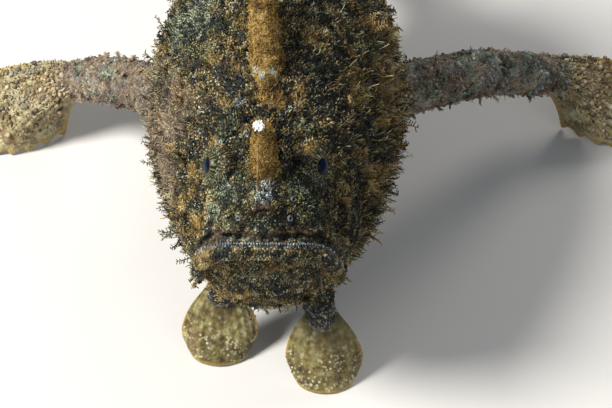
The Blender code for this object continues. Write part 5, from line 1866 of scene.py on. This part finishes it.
def grow_eye_rings(finish, skin):
    """Short pale growths that point away from each eye."""
    rng = np.random.default_rng(SEED + 190)
    roots, along = [], []
    for side in (1, -1):
        look, across, up = eye_axes(side)
        centre = fish(*eye_place(side))
        for ring, count in ((2.75, 46), (3.10, 56), (3.55, 60)):
            for a in full_turn(count) + rng.uniform(-0.05, 0.05, count):
                way = across * math.cos(a) + up * math.sin(a)
                roots.append(centre + (way * (ring + rng.uniform(-0.12, 0.12)) + look * 0.8) * UNIT)
                along.append(way)
    roots, normals = on_skin(roots, skin)
    along = unit(np.array(along) + 0.55 * normals)
    count = len(roots)
    sizes = rng.uniform(0.7, 1.2, (2, count))
    grow("eye_rings", NUB, roots, normals, along, 0 * roots, 0.00066 * sizes[0], 0.00019 * sizes[1], rng,
         rng.uniform(0.45, 1.0, count), "skin", finish)


# Long growths that stand out in the photo: root and direction on the body, length and width in mm
SPRIGS = {
    "plume": (
        ((16.8, 43.1, 21.1), (0.7, -0.1, 1.0), 4.4, 0.26),
        ((13.7, 33.3, 22.0), (0.9, -0.2, 0.8), 4.7, 0.28),
        ((22.3, 41.5, 7.8), (1.0, -0.3, 0.25), 5.2, 0.34),
        ((22.7, 35.3, 4.3), (1.0, -0.4, 0.15), 6.0, 0.36),
        ((18.6, 20.6, -3.0), (1.0, -0.4, 0.3), 4.2, 0.3), ((20.0, 27.0, 2.0), (1.0, -0.4, 0.4), 4.4, 0.3),
        ((18.4, 28.2, 10.9), (0.8, -0.5, 0.5), 4.0, 0.28),
        ((-19.5, 29.0, 4.0), (-1.0, -0.3, 0.4), 3.6, 0.28),
        ((-17.0, 19.0, 2.0), (-1.0, -0.4, 0.2), 3.2, 0.26),
        ((9.5, 6.6, -9.6), (0.6, -0.6, -0.8), 3.2, 0.28),
        ((-8.6, 6.4, -9.8), (-0.5, -0.6, -0.8), 3.0, 0.28),
        ((2.0, 5.0, -11.0), (0.1, -0.7, -0.9), 2.8, 0.26),
        ((45.4, 70.0, -7.3), (0.1, 0.2, 1.0), 3.8, 0.34), ((41.4, 65.0, -5.0), (0.0, 0.2, 1.0), 3.0, 0.3),
    ),
    "frond": (
        ((18.3, 20.1, -9.2), (1.0, -0.5, 0.1), 4.6, 1.5), ((13.4, 25.1, 17.9), (0.5, -0.6, 0.8), 2.4, 1.2),
        ((-18.3, 22.3, -10.0), (-1.0, -0.4, 0.1), 4.4, 1.8),
        ((26.5, 50.0, 14.0), (0.6, -0.4, 0.9), 3.2, 1.5),
        ((-31.0, 56.9, -0.1), (-0.2, -0.6, 1.0), 2.8, 1.5),
        ((-41.5, 66.0, -14.0), (-0.2, -1.0, -0.3), 2.8, 1.6),
        ((-33.0, 56.5, -6.5), (0.2, -1.0, -0.4), 2.8, 1.5),
        ((44.0, 69.0, -6.6), (-0.1, 0.1, 1.0), 2.8, 1.4),
        ((38.5, 56.5, -9.5), (0.0, -1.0, -0.4), 2.8, 1.5),
    ),
    "curl": (
        ((11.6, 5.9, -2.6), (0.9, -0.7, -0.8), 3.4, 0.3), ((10.4, 5.4, -3.2), (0.6, -0.7, -0.9), 3.6, 0.3),
        ((9.0, 5.3, -3.6), (0.5, -0.7, -0.9), 3.2, 0.28), ((12.2, 7.4, -5.0), (0.9, -0.5, -0.7), 3.0, 0.3),
    ),
}


def grow_sprigs(finish, skin):
    for number, (name, sprigs) in enumerate(SPRIGS.items()):
        places, ways, lengths, widths = zip(*sprigs)
        roots, _ = on_skin([fish(*place) for place in places], skin)
        along = np.array([body_direction(*way) for way in ways])
        rng = np.random.default_rng(SEED + 200 + number)
        shared = rng.uniform(0.5, 0.9, len(roots))
        normals = unit(along + (0, 0, 0.05))
        lie = np.zeros(along.shape) + (0, 0, -0.6)
        grow(f"sprigs_{name}", LONG_KINDS[name], roots - along * 0.0006, normals, along, lie,
             np.array(lengths) / 1000, np.array(widths) / 1000, rng, shared, "skin", finish)


# Small pieces' tones, dark to light
BEAD = ((0.38, (0.07, 0.09, 0.15)), (0.52, (0.18, 0.22, 0.32)), (0.66, (0.42, 0.48, 0.54)))
NOSTRIL = ((0.38, (0.04, 0.04, 0.045)), (0.52, (0.11, 0.11, 0.12)), (0.66, (0.24, 0.24, 0.25)))
ROD = ((0.42, (0.10, 0.055, 0.012)), (0.50, (0.22, 0.13, 0.03)), (0.60, (0.34, 0.22, 0.07)))
BAIT = ((0.38, (0.66, 0.68, 0.66)), (0.52, (0.86, 0.87, 0.84)), (0.66, (0.93, 0.93, 0.90)))


def build():
    group = markings()
    skin_finish, coat_finish = skin_material(group), coat_material(group)
    skin = make_skin()
    dress_skin(skin, skin_finish)
    grow_coat(Ground(skin.data), coat_finish)
    # the feet's finish is darkened with painted shade from the body above them
    paddle, sail = fin_material("paddle_fins", OLIVE_WITH_BODY_SHADE, 0.9), fin_material("sail_fins", BROWN)
    palm = fin_material("hand_fins", PALM, 0.7)
    for side in (1, -1):
        grow_on_fin(hand(side, palm), 4.5, 120 + side, coat_finish, 1.0)
        grow_on_foot(foot(side, paddle), 160 + side, coat_finish)
        eye(side, eye_material())
    bpy.context.view_layer.update()
    grow_eye_rings(coat_finish, skin)
    grow_sprigs(coat_finish, skin)
    for number, unpaired in enumerate((tail_fin, dorsal_fin, anal_fin)):
        grow_on_fin(unpaired(sail), 3.0, 150 + 2 * number, coat_finish)
    lip_beads(plain_material("lip_edge", BEAD, 900.0, 0.4), skin)
    nostrils(plain_material("nostril_skin", NOSTRIL, 1200.0, 0.7), skin)
    rod = plain_material("rod_skin", ROD, 500.0, 0.5)
    bait = plain_material("bait_skin", BAIT, 1500.0, 0.5, relief=0.0001, subsurface=0.3)
    lure(rod, bait, coat_finish)
    stage()
    camera()


build()
